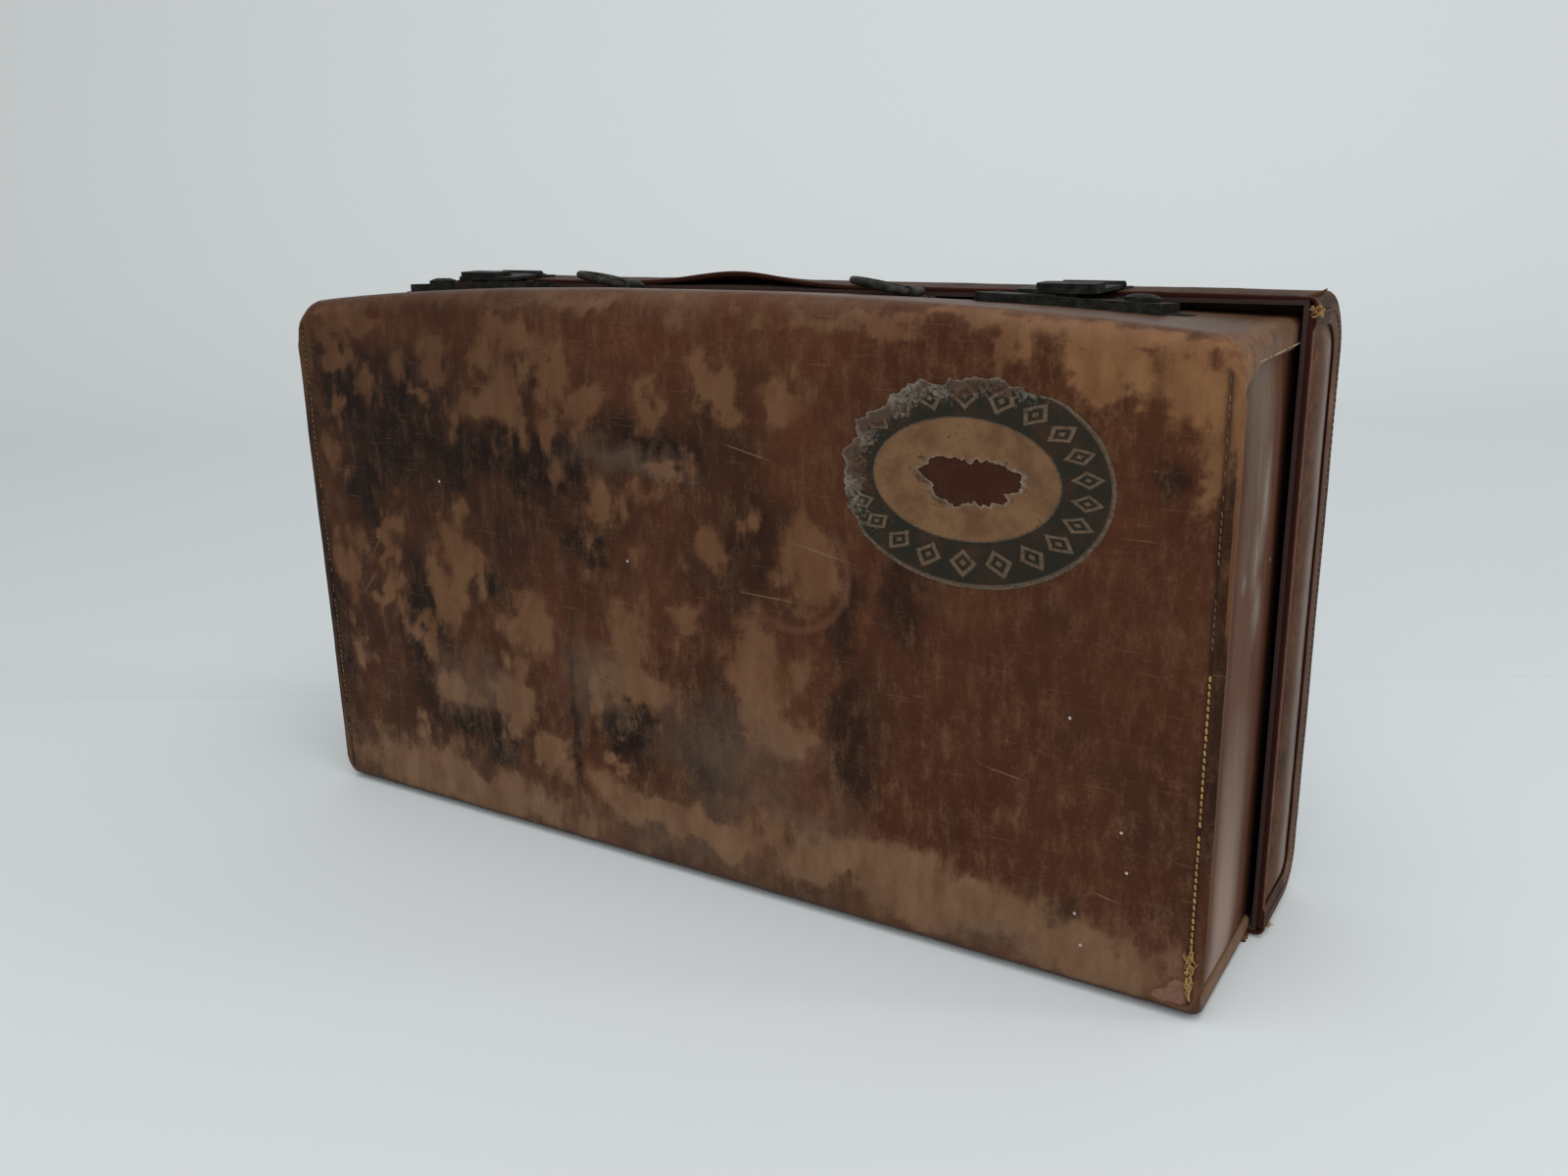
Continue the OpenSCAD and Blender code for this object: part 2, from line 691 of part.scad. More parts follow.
module lid_board() {
    color("tan") lid_layer(lid_in, lid_board_t, lid_end_board_x);
}

module lid_end_board(side) {
    color("tan") mirror([side < 0 ? 1 : 0, 0, 0])
        end_plate(lid_end_board_x - lid_board_t, lid_board_t) lid_block(lid_lining_in, 0);
}

module lid_lining() {
    half = lid_end_board_x - lid_board_t - glue;
    color("beige") {
        lid_layer(lid_lining_in, lining_t, half);
        for (side = [0, 1]) mirror([side, 0, 0])
            end_plate(half - lining_t, lining_t) lid_block(lid_lining_in, 0);
    }
}

// Hasp and its hinge plate, drawn with the pin on the x axis
hasp_x = lock_x + tongue_x;
knuckle_l = 0.5 * hasp_w;
plate_t = 1.2;
plate_behind = 15;
hasp_rivet_y = 9.5;
hasp_rivet_x = 0.33 * hasp_w;

module on_hasp(side) {
    translate([side * hasp_x, pin_y, pin_z]) mirror([side < 0 ? 1 : 0, 0, 0]) children();
}

module knuckle(from, to) {
    translate([from, 0, 0]) rotate([0, 90, 0]) cylinder(h = to - from, r = knuckle_r, $fn = 48);
}

module pin_bore() {
    translate([-hasp_w, 0, 0]) rotate([0, 90, 0])
        cylinder(h = 2 * hasp_w, r = pin_r + bore_gap, $fn = 48);
}

module hasp_plate(side) {
    seat = lid_h - pin_z;
    color("dimgray") on_hasp(side) difference() {
        union() {
            translate([-hasp_w / 2, knuckle_r + 0.6, seat])
                cube([hasp_w, plate_behind - knuckle_r - 0.6, plate_t]);
            for (s = [-1, 1]) {
                low = s < 0 ? -hasp_w / 2 : knuckle_l / 2 + run;
                high = s < 0 ? -knuckle_l / 2 - run : hasp_w / 2;
                knuckle(low, high);
                translate([low, 0, seat]) cube([high - low, knuckle_r + 1, plate_t]);
            }
        }
        pin_bore();
        for (s = [-1, 1]) translate([s * hasp_rivet_x, hasp_rivet_y, seat - 1])
            cylinder(h = 4, r = rivet_r + rivet_gap, $fn = 24);
    }
}

// These rivets are clenched on the plate; their heads sit on it
module hasp_rivets(side) {
    color("gray") on_hasp(side) for (s = [-1, 1])
        translate([s * hasp_rivet_x, hasp_rivet_y, lid_h - pin_z + plate_t]) domed_rivet(plate_t);
}

module hasp_pin(side) {
    color("silver") on_hasp(side) translate([-hasp_w / 2 - 0.6, 0, 0]) rotate([0, 90, 0])
        cylinder(h = hasp_w + 1.2, r = pin_r, $fn = 48);
}

leaf_z = -1.3;
block_from = 14;
leaf_extra = 10;
tongue_drop = 4.4;

module hasp(side) {
    leaf_top = leaf_z + hasp_t;
    centre_y = -(hasp_reach + block_from) / 2;
    block_l = hasp_reach - block_from;
    tongue_y = lock_y - tongue_back - pin_y;
    color("dimgray") on_hasp(side) difference() {
        union() {
            knuckle(-knuckle_l / 2, knuckle_l / 2);
            translate([-knuckle_l / 2, -knuckle_r - 2, leaf_z])
                cube([knuckle_l, knuckle_r + 2, hasp_t]);
            translate([-hasp_w / 2, -block_from - 6, leaf_z])
                cube([hasp_w, block_from + 6 - knuckle_r - 0.6, hasp_t]);
            translate([-leaf_extra / 2, centre_y, leaf_z]) linear_extrude(hasp_t)
                round_rect(hasp_w + leaf_extra, block_l, 5);
            translate([0, 2 + hasp_block_l / 2 - hasp_reach, leaf_top]) linear_extrude(hasp_block_h)
                round_rect(hasp_w - 1, hasp_block_l, 4);
            translate([-tongue_w / 2, tongue_y - tongue_t / 2, leaf_z - tongue_drop])
                cube([tongue_w, tongue_t, tongue_drop + hasp_t / 2]);
        }
        pin_bore();
    }
}

base_wrap();
end_wall(-1);  // end_wall_left
end_wall(1);  // end_wall_right
front_board();
top_board();
bottom_board();
end_board(-1);  // end_board_left
end_board(1);  // end_board_right
base_lining();
hinge_leather_base();
lock_case(-1);  // lock_case_left
lock_case(1);  // lock_case_right
lock_rivets(-1);  // lock_rivets_left
lock_rivets(1);  // lock_rivets_right
lock_knob(-1);  // lock_knob_left
lock_knob(1);  // lock_knob_right
latch_bolt(-1);  // latch_bolt_left
latch_bolt(1);  // latch_bolt_right
ring_staple(0);  // ring_staple_left
ring_staple(1);  // ring_staple_right
staple_rivets(0);  // staple_rivets_left
staple_rivets(1);  // staple_rivets_right
handle_ring(0);  // handle_ring_left
handle_ring(1);  // handle_ring_right
lid_wrap();
lid_end(-1);  // lid_end_left
lid_end(1);  // lid_end_right
lid_board();
lid_end_board(-1);  // lid_end_board_left
lid_end_board(1);  // lid_end_board_right
lid_lining();
hinge_leather_lid();
hasp_plate(-1);  // hasp_plate_left
hasp_plate(1);  // hasp_plate_right
hasp_rivets(-1);  // hasp_rivets_left
hasp_rivets(1);  // hasp_rivets_right
hasp_pin(-1);  // hasp_pin_left
hasp_pin(1);  // hasp_pin_right
hasp(-1);  // hasp_left
hasp(1);  // hasp_right
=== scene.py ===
# Leather travel case: the finish of every surface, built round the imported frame.
# Lengths are in mm up to the floor, and MM turns them into the frame's metres.
import math
import random

import bmesh
import bpy
import numpy as np
from mathutils import Matrix, Vector, noise


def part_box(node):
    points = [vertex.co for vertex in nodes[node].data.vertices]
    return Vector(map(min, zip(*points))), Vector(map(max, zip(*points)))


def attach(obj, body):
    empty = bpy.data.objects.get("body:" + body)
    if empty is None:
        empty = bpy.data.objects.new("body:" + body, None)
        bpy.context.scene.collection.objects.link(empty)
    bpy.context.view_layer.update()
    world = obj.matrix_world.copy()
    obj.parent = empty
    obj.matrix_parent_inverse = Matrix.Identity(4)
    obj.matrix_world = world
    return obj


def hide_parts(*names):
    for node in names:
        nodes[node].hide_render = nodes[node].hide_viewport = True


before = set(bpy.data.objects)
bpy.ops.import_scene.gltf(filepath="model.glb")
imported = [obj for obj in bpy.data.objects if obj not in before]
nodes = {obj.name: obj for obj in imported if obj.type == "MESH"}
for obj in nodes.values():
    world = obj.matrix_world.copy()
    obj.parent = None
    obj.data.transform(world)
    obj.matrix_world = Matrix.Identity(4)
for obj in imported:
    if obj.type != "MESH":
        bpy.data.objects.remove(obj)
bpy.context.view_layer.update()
scene = bpy.context.scene
MM = 0.001
HALF_PI = math.pi / 2
random.seed(7)
noise.seed_set(7)


def corners(node):
    """The lowest and the highest corner of a node of the frame."""
    return [[v / MM for v in corner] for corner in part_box(node)]


# Sizes from the frame
BASE_LO, BASE_HI = corners("base_wrap")
LID_HI, HINGE_HI = corners("lid_wrap")[1], corners("hinge_leather_base")[1]
BASE_HALF, LID_HALF = BASE_HI[0], LID_HI[0]
FRONT_Y, WALL_END_Y, BACK_Y = BASE_LO[1], BASE_HI[1], LID_HI[1]
RIM_Y = (HINGE_HI[1] + corners("hinge_leather_lid")[0][1]) / 2
SHOW = RIM_Y - FRONT_Y
WRAP_Z = HINGE_HI[2]
HINGE_GAP = 0.15

# The same driving sizes as in the part's source
BASE_H = 353
LID_H = BASE_H + 12
FRONT_RISE, RIM_RISE = 15, 5.5
TOP_FOLD, BOTTOM_FOLD = 11, 8
CORNER_R, FOOT_CORNER_R, FOOT_ROLL_R, END_ROLL_R = 18, 10, 4, 6
FOOT_TAB, END_TAB = 7, 15
LID_EDGE_R, LID_FOOT_R, LID_ROLL_R, LID_TAB = 40, 26, 5, 12
WAVE_H, WAVE_X, WAVE_W, WAVE_DEPTH = 7, -20, 45, 32
HIDE_T, END_HIDE_T = 2.5, 2.2
STITCH_INSET = 9.5
END_WALL_X = BASE_HALF - HIDE_T - 0.1
LID_END_X = LID_HALF - HIDE_T - 0.1


# Small tools
def fractal(points, size, octaves=3, seed=0):
    """Fractal noise, about -1 to 1, with features of that size, at an array of points."""
    flat = np.asarray(points, float).reshape(-1, 3) / size + seed * 17.3
    out = [noise.fractal(Vector(p), 0.8, 2.1, octaves) for p in flat]
    return np.array(out).reshape(np.shape(points)[:-1])


def smooth(x, low, high):
    """0 to 1 while x goes from low to high, with soft ends."""
    t = np.clip((x - low) / (high - low), 0, 1)
    return t * t * (3 - 2 * t)


def ridge(away, width):
    """1 on a line, fading to 0 beside it."""
    return np.exp(-(away / width) ** 2)


def even(low, high, step):
    """Places from low to high, about a step apart."""
    return np.linspace(low, high, max(1, round(abs(high - low) / step)) + 1)


def stack(x, y, z):
    x, y, z = np.broadcast_arrays(x, y, z)
    return np.stack([x, y, z], axis=-1)


def link(name, data):
    obj = bpy.data.objects.new(name, data)
    scene.collection.objects.link(obj)
    return obj


def to_mesh(name, verts, faces, material, attributes):
    """A smooth object of these faces, with values at its points for the material to read."""
    mesh = bpy.data.meshes.new(name)
    mesh.from_pydata((np.asarray(verts).reshape(-1, 3) * MM).tolist(), [], faces)
    for key, values in attributes.items():
        layer = mesh.attributes.new(key, "FLOAT", "POINT")
        layer.data.foreach_set("value", np.asarray(values, dtype=np.float32).ravel())
    work = bmesh.new()
    work.from_mesh(mesh)
    bmesh.ops.recalc_face_normals(work, faces=work.faces)
    work.to_mesh(mesh)
    work.free()
    mesh.shade_smooth()
    mesh.set_sharp_from_angle(angle=math.radians(40))
    mesh.materials.append(material)
    return link(name, mesh)


def grid_faces(ni, nj, start=0, closed=False):
    last = ni if closed else ni - 1
    return [(start + i * nj + j, start + (i + 1) % ni * nj + j,
             start + (i + 1) % ni * nj + j + 1, start + i * nj + j + 1)
            for i in range(last) for j in range(nj - 1)]


def lid_sag(x, y, z):
    """The lid's left corner has sunk towards the base."""
    share = smooth(-x, 250, 306) * smooth(z, 285, 350)
    depth = 14 + 6 * smooth(-x, 316, 328)
    return depth * share * (1 - 0.5 * smooth(y, 45, 85))


def base_sag(x, y, z):
    """Inside the lid the base's left corner has sunk with it."""
    return 11 * smooth(-x, 262, 300) * smooth(y, -8, 14) * smooth(z, 285, 340)


def lower(points, sag):
    """The same points, lowered by a sag."""
    x, y, z = np.moveaxis(points, -1, 0)
    return stack(x, y, z - sag(x, y, z))


def sheet(name, outer, inner, material, attributes, sag=None, bulge=0.4):
    """A closed sheet of leather between two grids of points, with a rounded cut edge."""
    if sag:
        outer, inner = lower(outer, sag), lower(inner, sag)
    ni, nj = outer.shape[:2]
    count = ni * nj
    loop = ([(i, 0) for i in range(ni)] + [(ni - 1, j) for j in range(1, nj)]
            + [(i, nj - 1) for i in range(ni - 2, -1, -1)] + [(0, j) for j in range(nj - 2, 0, -1)])
    inward_i, inward_j = {0: 1, ni - 1: ni - 2}, {0: 1, nj - 1: nj - 2}
    middle = []
    for i, j in loop:
        at = (outer[i, j] + inner[i, j]) / 2
        out = outer[i, j] - outer[inward_i.get(i, i), inward_j.get(j, j)]
        middle.append(at + out / max(np.linalg.norm(out), 1e-9) * bulge)
    verts = np.concatenate([outer.reshape(-1, 3), inner.reshape(-1, 3), np.array(middle)])
    faces = grid_faces(ni, nj) + [tuple(reversed(f)) for f in grid_faces(ni, nj, count)]
    n = len(loop)
    for k in range(n):
        a, b = loop[k], loop[(k + 1) % n]
        va, vb = a[0] * nj + a[1], b[0] * nj + b[1]
        ma, mb = 2 * count + k, 2 * count + (k + 1) % n
        faces += [(va, vb, mb, ma), (ma, mb, count + vb, count + va)]
    rim = np.zeros((ni, nj))
    rim[0], rim[-1], rim[:, 0], rim[:, -1] = 1, 1, 1, 1
    values = {"cut": np.concatenate([0.35 * rim.ravel(), rim.ravel(), np.ones(n)])}
    for key, field in attributes.items():
        field = np.broadcast_to(field, (ni, nj))
        on_loop = np.array([field[i, j] for i, j in loop])
        values[key] = np.concatenate([field.ravel(), field.ravel() * 0, on_loop])
    return to_mesh(name, verts, faces, material, values)


def ring_sheet(name, outer, inner, material, attributes):
    """A closed ring of paper or leather; its first index runs round the ring."""
    ni, nj = outer.shape[:2]
    count = ni * nj
    faces = grid_faces(ni, nj, closed=True)
    faces += [tuple(reversed(f)) for f in grid_faces(ni, nj, count, closed=True)]
    for i in range(ni):
        for j in (0, nj - 1):
            a, b = i * nj + j, (i + 1) % ni * nj + j
            faces.append((a, b, b + count, a + count))
    verts = np.concatenate([outer.reshape(-1, 3), inner.reshape(-1, 3)])
    values = {key: np.tile(np.broadcast_to(field, (ni, nj)).ravel(), 2) for key, field in attributes.items()}
    return to_mesh(name, verts, faces, material, values)


def sunk_copy(node, sag, material, body):
    """A hidden layer of the frame, cut finer near the sunk corner and lowered with it."""
    source = nodes[node]
    work = bmesh.new()
    work.from_mesh(source.data)
    work.transform(source.matrix_world)
    cuts = [((x * MM, 0, 0), (1, 0, 0)) for x in even(-322, -248, 8)]
    cuts += [((0, 0, z * MM), (0, 0, 1)) for z in even(286, 352, 11)]
    for at, normal in cuts:
        geometry = work.verts[:] + work.edges[:] + work.faces[:]
        bmesh.ops.bisect_plane(work, geom=geometry, plane_co=at, plane_no=normal)
    for v in work.verts:
        v.co.z -= float(sag(*(v.co / MM))) * MM
    mesh = bpy.data.meshes.new(node + "_worn")
    work.to_mesh(mesh)
    work.free()
    mesh.set_sharp_from_angle(angle=math.radians(30))
    mesh.materials.append(material)
    obj = link(node + "_worn", mesh)
    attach(obj, body)
    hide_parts(node)


def tube(points, radius, sides=6):
    """Vertices and faces of a thin closed tube along points, tapering at its ends."""
    points = [Vector(p) for p in points]
    verts, faces = [], []
    across = Vector((0.3, 0.5, 0.8)).normalized()
    n = len(points)
    for k, p in enumerate(points):
        ahead = (points[min(k + 1, n - 1)] - points[max(k - 1, 0)]).normalized()
        u = ahead.cross(across).normalized()
        v = ahead.cross(u)
        r = radius * (0.45 if k in (0, n - 1) else 1)
        verts += [tuple(p + r * (math.cos(a) * u + math.sin(a) * v))
                  for a in np.linspace(0, 2 * math.pi, sides, endpoint=False)]
    for k in range(n - 1):
        for s in range(sides):
            a, b = k * sides + s, k * sides + (s + 1) % sides
            faces.append((a, b, b + sides, a + sides))
    faces += [tuple(range(sides)), tuple(range((n - 1) * sides, n * sides))]
    return verts, faces


def tubes(name, paths, radius, material):
    """One object of many thin tubes, each with a tone of its own."""
    verts, faces, tone = [], [], []
    for path in paths:
        v, f = tube(path, radius)
        faces += [tuple(i + len(verts) for i in face) for face in f]
        verts += v
        tone += [random.random()] * len(v)
    return to_mesh(name, verts, faces, material, {"tone": tone})


# Materials
def shader_sum(kind):
    """A method of Field that has the shader do one kind of sum."""
    return lambda field, other=0.5: field.finish.math(kind, field, other)


class Field:
    """A value that the shader works out at every point; sums and products of fields are fields."""

    def __init__(self, finish, socket):
        self.finish, self.socket = finish, socket

    __add__, __sub__, __mul__ = shader_sum("ADD"), shader_sum("SUBTRACT"), shader_sum("MULTIPLY")
    __truediv__, __abs__, most = shader_sum("DIVIDE"), shader_sum("ABSOLUTE"), shader_sum("MAXIMUM")

    def __rsub__(self, other):
        return self.finish.math("SUBTRACT", other, self)

    def signed(self, gain):
        """Noise shifted to lie round 0."""
        return (self - 0.5) * gain

    def ramp(self, low, high, to_low=0.0, to_high=1.0):
        """Goes from to_low to to_high while the field goes from low to high."""
        return self.finish.field("MapRange", 0, {"Value": self, "From Min": low, "From Max": high,
                                                 "To Min": to_low, "To Max": to_high})


class Finish:
    """One material's nodes; its colour is built up in coats of paint."""

    def __init__(self, name, colour, roughness=0.5, metallic=0.0, specular=0.5):
        self.mat = bpy.data.materials.new(name)
        self.mat.use_nodes = True
        self.tree = self.mat.node_tree
        self.shader = self.tree.nodes["Principled BSDF"]
        for key, value in (("Roughness", roughness), ("Metallic", metallic), ("Specular IOR Level", specular)):
            self.shader.inputs[key].default_value = value
        self.place = self.node("TexCoord").outputs["Object"]
        self.colour = colour

    def put(self, socket, value):
        if isinstance(value, Field):
            value = value.socket
        if isinstance(value, bpy.types.NodeSocket):
            self.tree.links.new(value, socket)
        elif socket.type == "RGBA":
            socket.default_value = (*value, 1)
        else:
            socket.default_value = value

    def node(self, kind, values=None, **settings):
        node = self.tree.nodes.new("ShaderNode" + kind)
        for key, setting in settings.items():
            setattr(node, key, setting)
        for key, value in (values or {}).items():
            self.put(node.inputs[key], value)
        return node

    def field(self, kind, output, values=None, **settings):
        return Field(self, self.node(kind, values, **settings).outputs[output])

    def math(self, kind, a, b=0.5):
        return self.field("Math", 0, {0: a, 1: b}, operation=kind)

    def attribute(self, name):
        return self.field("Attribute", "Fac", attribute_name=name)

    def at(self, stretch, turn=0.0):
        """Places stretched along the axes, and turned about y."""
        return self.node("Mapping", {"Scale": stretch, "Rotation": (0, turn, 0), "Vector": self.place}).outputs[0]

    def axes(self):
        """Each point's x, y and z in mm."""
        return [Field(self, out) for out in self.node("SeparateXYZ", {0: self.at((1 / MM,) * 3)}).outputs]

    def noise(self, size, detail, rough, stretch=None, turn=0.0):
        """Noise about 0 to 1 with features of that size."""
        place = self.at(stretch, turn) if stretch else self.place
        return self.field("TexNoise", "Fac", {"Vector": place, "Scale": 1 / (size * MM),
                                              "Detail": detail, "Roughness": rough})

    def oval(self, a, b, middle, half, tilt=0.0):
        """1 on an oval's edge, less inside it; also both coordinates as shares of its halves."""
        a, b = a - middle[0], b - middle[1]
        if tilt:
            c, s = math.cos(math.radians(tilt)), math.sin(math.radians(tilt))
            a, b = a * c + b * s, b * c - a * s
        u, v = a / half[0], b / half[1]
        return self.math("SQRT", u * u + v * v), u, v

    def mix(self, share, a, b):
        return self.node("Mix", {0: share, 6: a, 7: b}, data_type="RGBA").outputs[2]

    def paint(self, share, tone):
        """Lays a share of another tone over the colour."""
        self.colour = self.mix(share, self.colour, tone)

    def finish(self, roughness=None, height=None, distance=0.2, strength=0.6):
        self.put(self.shader.inputs["Base Color"], self.colour)
        if roughness is not None:
            self.put(self.shader.inputs["Roughness"], roughness)
        if height is not None:
            bump = self.node("Bump", {"Distance": distance * MM, "Strength": strength, "Height": height})
            self.put(self.shader.inputs["Normal"], bump.outputs[0])
        return self.mat


RED_BROWN, RED_DARK = (0.063, 0.0165, 0.0065), (0.037, 0.0106, 0.0046)
BROWN, UMBER = (0.098, 0.040, 0.0175), (0.024, 0.0095, 0.0045)
TAN, TAN_DEEP, TAN_WARM = (0.228, 0.131, 0.072), (0.132, 0.061, 0.028), (0.235, 0.114, 0.048)
SOOT_AND_SHADE, DUST_AND_SHEEN = (0.0095, 0.0045, 0.0027), (0.148, 0.096, 0.064)
RAW_PINK, RAW_TAN, RAW_DARK = (0.215, 0.118, 0.090), (0.135, 0.062, 0.034), (0.040, 0.017, 0.009)
CUT_EDGE, RIM_FACING = (0.12, 0.065, 0.035), (0.028, 0.0093, 0.0055)
SCRATCH, STAIN, HOLE_RED = (0.20, 0.125, 0.085), (0.125, 0.058, 0.032), (0.030, 0.0085, 0.0045)
SCUFF, FLECK, SPECK = (0.29, 0.255, 0.215), (0.42, 0.40, 0.38), (0.50, 0.48, 0.45)

# The label's ring and the tan oval inside it: middle and half widths
LABEL_AT, LABEL_HALF = (186, 276), (78, 57)
OVAL_AT, OVAL_HALF = (183.5, 276.5), (52, 32)
LOZENGES = 22
UNDER_HOLE = (40, 22)

# Small bright flecks on the front
FLECKS = [(245, 157), (275, 99), (279, 77), (252, 46), (256, 28), (-40, 205), (-196, 240)]
FLECK_HALF = (1, 1)
# Long scratches on the front: middle, half length, tilt in degrees
LONG_SCRATCHES = [(49, 280, 20, -13), (62, 196, 27, -1.5), (97, 227, 25, -11), (-60, 123, 9, -14),
                  (-262, 190, 13, 58), (-274, 160, 15, 48), (210, 118, 14, -9), (268, 60, 9, -12)]
SCRATCH_HALF = 0.55
STAIN_AT, STAIN_HALF = (78, 215), (36, 36)
# Pale scuffs on the right end wall: middle and half widths along y and z
END_SCUFFS = [(-26, 266, 11, 32), (-36, 238, 13, 20), (-27, 208, 10, 20), (-58, 231, 5, 7)]
SPECK_AT, SPECK_HALF = (0, 230), (1.6, 1.3)


def leather_grain(m, size=0.9):
    """Fine hair-cell grain with a few soft dents."""
    cells = m.field("TexVoronoi", "Distance", {"Vector": m.place, "Scale": 1 / (1.4 * size * MM)})
    return m.noise(size, 3, 0.6) * 0.6 + cells * 0.5


def scratches(m, turn, size=30, level=0.70):
    """Thin light scratches that run one way, as a share from 0 to 1."""
    return m.noise(size, 2, 0.5, (1, 1, 42), turn).ramp(level, level + 0.05)


def hide_leather():
    """Red-brown hide, worn to tan and black, with its scratches, stain and torn corner; the underside of its bottom
    fold is painted darker as painted shade, and its top fold paler as a painted sheen.
    """
    m = Finish("hide_leather", RED_DARK, 0.5, specular=0.085)
    x, _, z = m.axes()
    blotch = m.noise(55, 6, 0.62)
    cloudy = m.noise(34, 5, 0.6, (1, 1, 0.7)).signed(2.2)
    brushed = m.noise(15, 6, 0.65, (1, 1, 0.38))
    ragged = m.noise(10, 8, 0.74, (1, 1, 0.55)).signed(2.4)
    strokes = m.noise(4.5, 5, 0.65, (1, 1, 0.25)).signed(1.3)
    crumb = m.noise(2.2, 4, 0.65).signed(0.9)
    edge = ragged + crumb + strokes
    m.paint(blotch.ramp(0.36, 0.64) * x.ramp(90, 190, 1, 0.62), RED_BROWN)
    m.paint(brushed.ramp(0.50, 0.72) * x.ramp(130, 30, 0.05, 0.32), BROWN)

    worn = m.attribute("tan") + edge * 0.5
    m.paint((worn + cloudy * 0.35).ramp(-0.78, -0.05) * x.ramp(90, 170, 0.56, 0.42), BROWN)
    # The dark field holds the black wear, and also the painted shade under the bottom fold.
    dark = m.attribute("dark") + (edge * 0.22 + cloudy * 0.36)
    m.paint(dark.ramp(-0.75, -0.05, 0, 0.72), UMBER)
    m.paint(dark.ramp(-0.08, 0.36) * x.ramp(120, 40, 0.35, 0.88), SOOT_AND_SHADE)
    warm = x.ramp(110, 210) * z.ramp(230, 310)
    tan_tone = m.mix(m.attribute("tone"), TAN_DEEP, m.mix(warm, TAN, TAN_WARM))
    bare = worn.ramp(-0.30, 0.26) * worn.ramp(-0.30, 0.10, 0.55, 1)
    m.paint(bare * 0.92, m.mix(brushed.ramp(0.64, 0.36, 0, 0.7), tan_tone, BROWN))
    # Dust, and a painted sheen along the top fold.
    m.paint((m.attribute("dust") + edge * 0.35).ramp(-0.45, 0.7, 0, 0.42), DUST_AND_SHEEN)

    raw = m.attribute("raw") + (ragged + crumb) * 0.42
    m.paint(raw.ramp(-0.75, -0.25, 0, 0.75), RAW_TAN)
    torn = raw.ramp(-0.32, -0.10) * raw.ramp(0.08, -0.06)
    m.paint(torn * ragged.ramp(-0.6, 0.6, 0.1, 0.75), RAW_DARK)
    m.paint(raw.ramp(-0.02, 0.12), m.mix(crumb.ramp(-0.25, 0.25), RAW_TAN, RAW_PINK))

    lines = scratches(m, 0.35).most(scratches(m, -1.1, 24, 0.71)).most(scratches(m, 1.45, 40))
    m.paint(lines * 0.3, TAN)
    # Dark along the seams, and along the crease as painted shade in its dent.
    m.paint(m.attribute("seam") * 0.8, SOOT_AND_SHADE)
    for *middle, half, tilt in LONG_SCRATCHES:
        near = m.oval(x, z, middle, (half, SCRATCH_HALF), tilt)[0]
        m.paint(near.ramp(1.0, 0.5) * crumb.ramp(-0.35, 0.25, 0.15, 0.8), SCRATCH)
    from_stain, u, v = m.oval(x, z, STAIN_AT, STAIN_HALF)
    m.paint(abs(from_stain - 1).ramp(0.10, 0.02) * (u - v).ramp(0.0, 0.8, 0, 0.5), STAIN)
    m.paint(m.oval(x, z, LABEL_AT, UNDER_HOLE)[0].ramp(1, 0.8, 0, 0.75), HOLE_RED)
    m.paint(x.ramp(-40, -190, 0, 0.26) * z.ramp(170, 260), SOOT_AND_SHADE)
    for middle in FLECKS:
        m.paint(m.oval(x, z, middle, FLECK_HALF)[0].ramp(1.0, 0.6), FLECK)
    m.paint(m.attribute("cut"), CUT_EDGE)
    roughness = bare.ramp(0, 1, 0.52, 0.64) + m.attribute("sheen").ramp(0, 1, 0, -0.12)
    return m.finish(roughness, leather_grain(m) - lines * 0.5 - bare * 0.5 + brushed * 0.8, 0.25)


def end_leather():
    """Brown leather of the base's ends, grey at top and foot with dust and painted sheen, paler at the foot as a
    painted reflection of the floor and darker towards the lid as a painted shadow, scuffed on the right.
    """
    m = Finish("end_leather", (0.050, 0.015, 0.008), 0.45, specular=0.035)
    x, y, z = m.axes()
    blotch, dust = m.noise(45, 5, 0.6), m.attribute("dust")
    m.paint(m.noise(20, 5, 0.62, (1, 1, 0.10)).ramp(0.35, 0.68), (0.122, 0.050, 0.027))
    m.paint(blotch.ramp(0.55, 0.75, 0, 0.45), TAN_DEEP)
    m.paint(m.noise(3, 4, 0.6).ramp(0.62, 0.70, 0, 0.35), TAN)
    # The dust field greys the front part of the wall, in streaks and at the top: partly dust, partly painted sheen.
    m.paint(m.noise(9, 5, 0.6, (1, 1, 0.13)).ramp(0.58, 0.72, 0, 0.5) * dust, (0.24, 0.185, 0.145))
    m.paint(dust * 0.44, (0.153, 0.097, 0.064))
    # Paler pinkish grey towards the foot: a painted reflection of the floor.
    m.paint(z.ramp(170, 40, 0, 0.9) * dust, (0.33, 0.24, 0.20))
    m.paint(z.ramp(225, 330, 0, 0.36) * dust, (0.195, 0.185, 0.155))
    on_right = x.ramp(0, 10)
    smear = m.noise(7, 5, 0.6, (1, 1, 0.2)).ramp(0.38, 0.62, 0.12, 0.62) * on_right
    for *middle, half_y, half_z in END_SCUFFS:
        m.paint(m.oval(y, z, middle, (half_y, half_z))[0].ramp(1.1, 0.2) * smear, SCUFF)
    m.paint(m.oval(y, z, SPECK_AT, SPECK_HALF)[0].ramp(1, 0.7) * on_right, SPECK)
    # Painted shadow of the lid's skirt, darker towards the lid.
    m.paint(m.attribute("dark") * 0.75, SOOT_AND_SHADE)
    m.paint(m.attribute("cut"), CUT_EDGE)
    return m.finish(blotch.ramp(0.3, 0.7, 0.54, 0.68), leather_grain(m, 0.7), strength=0.35)


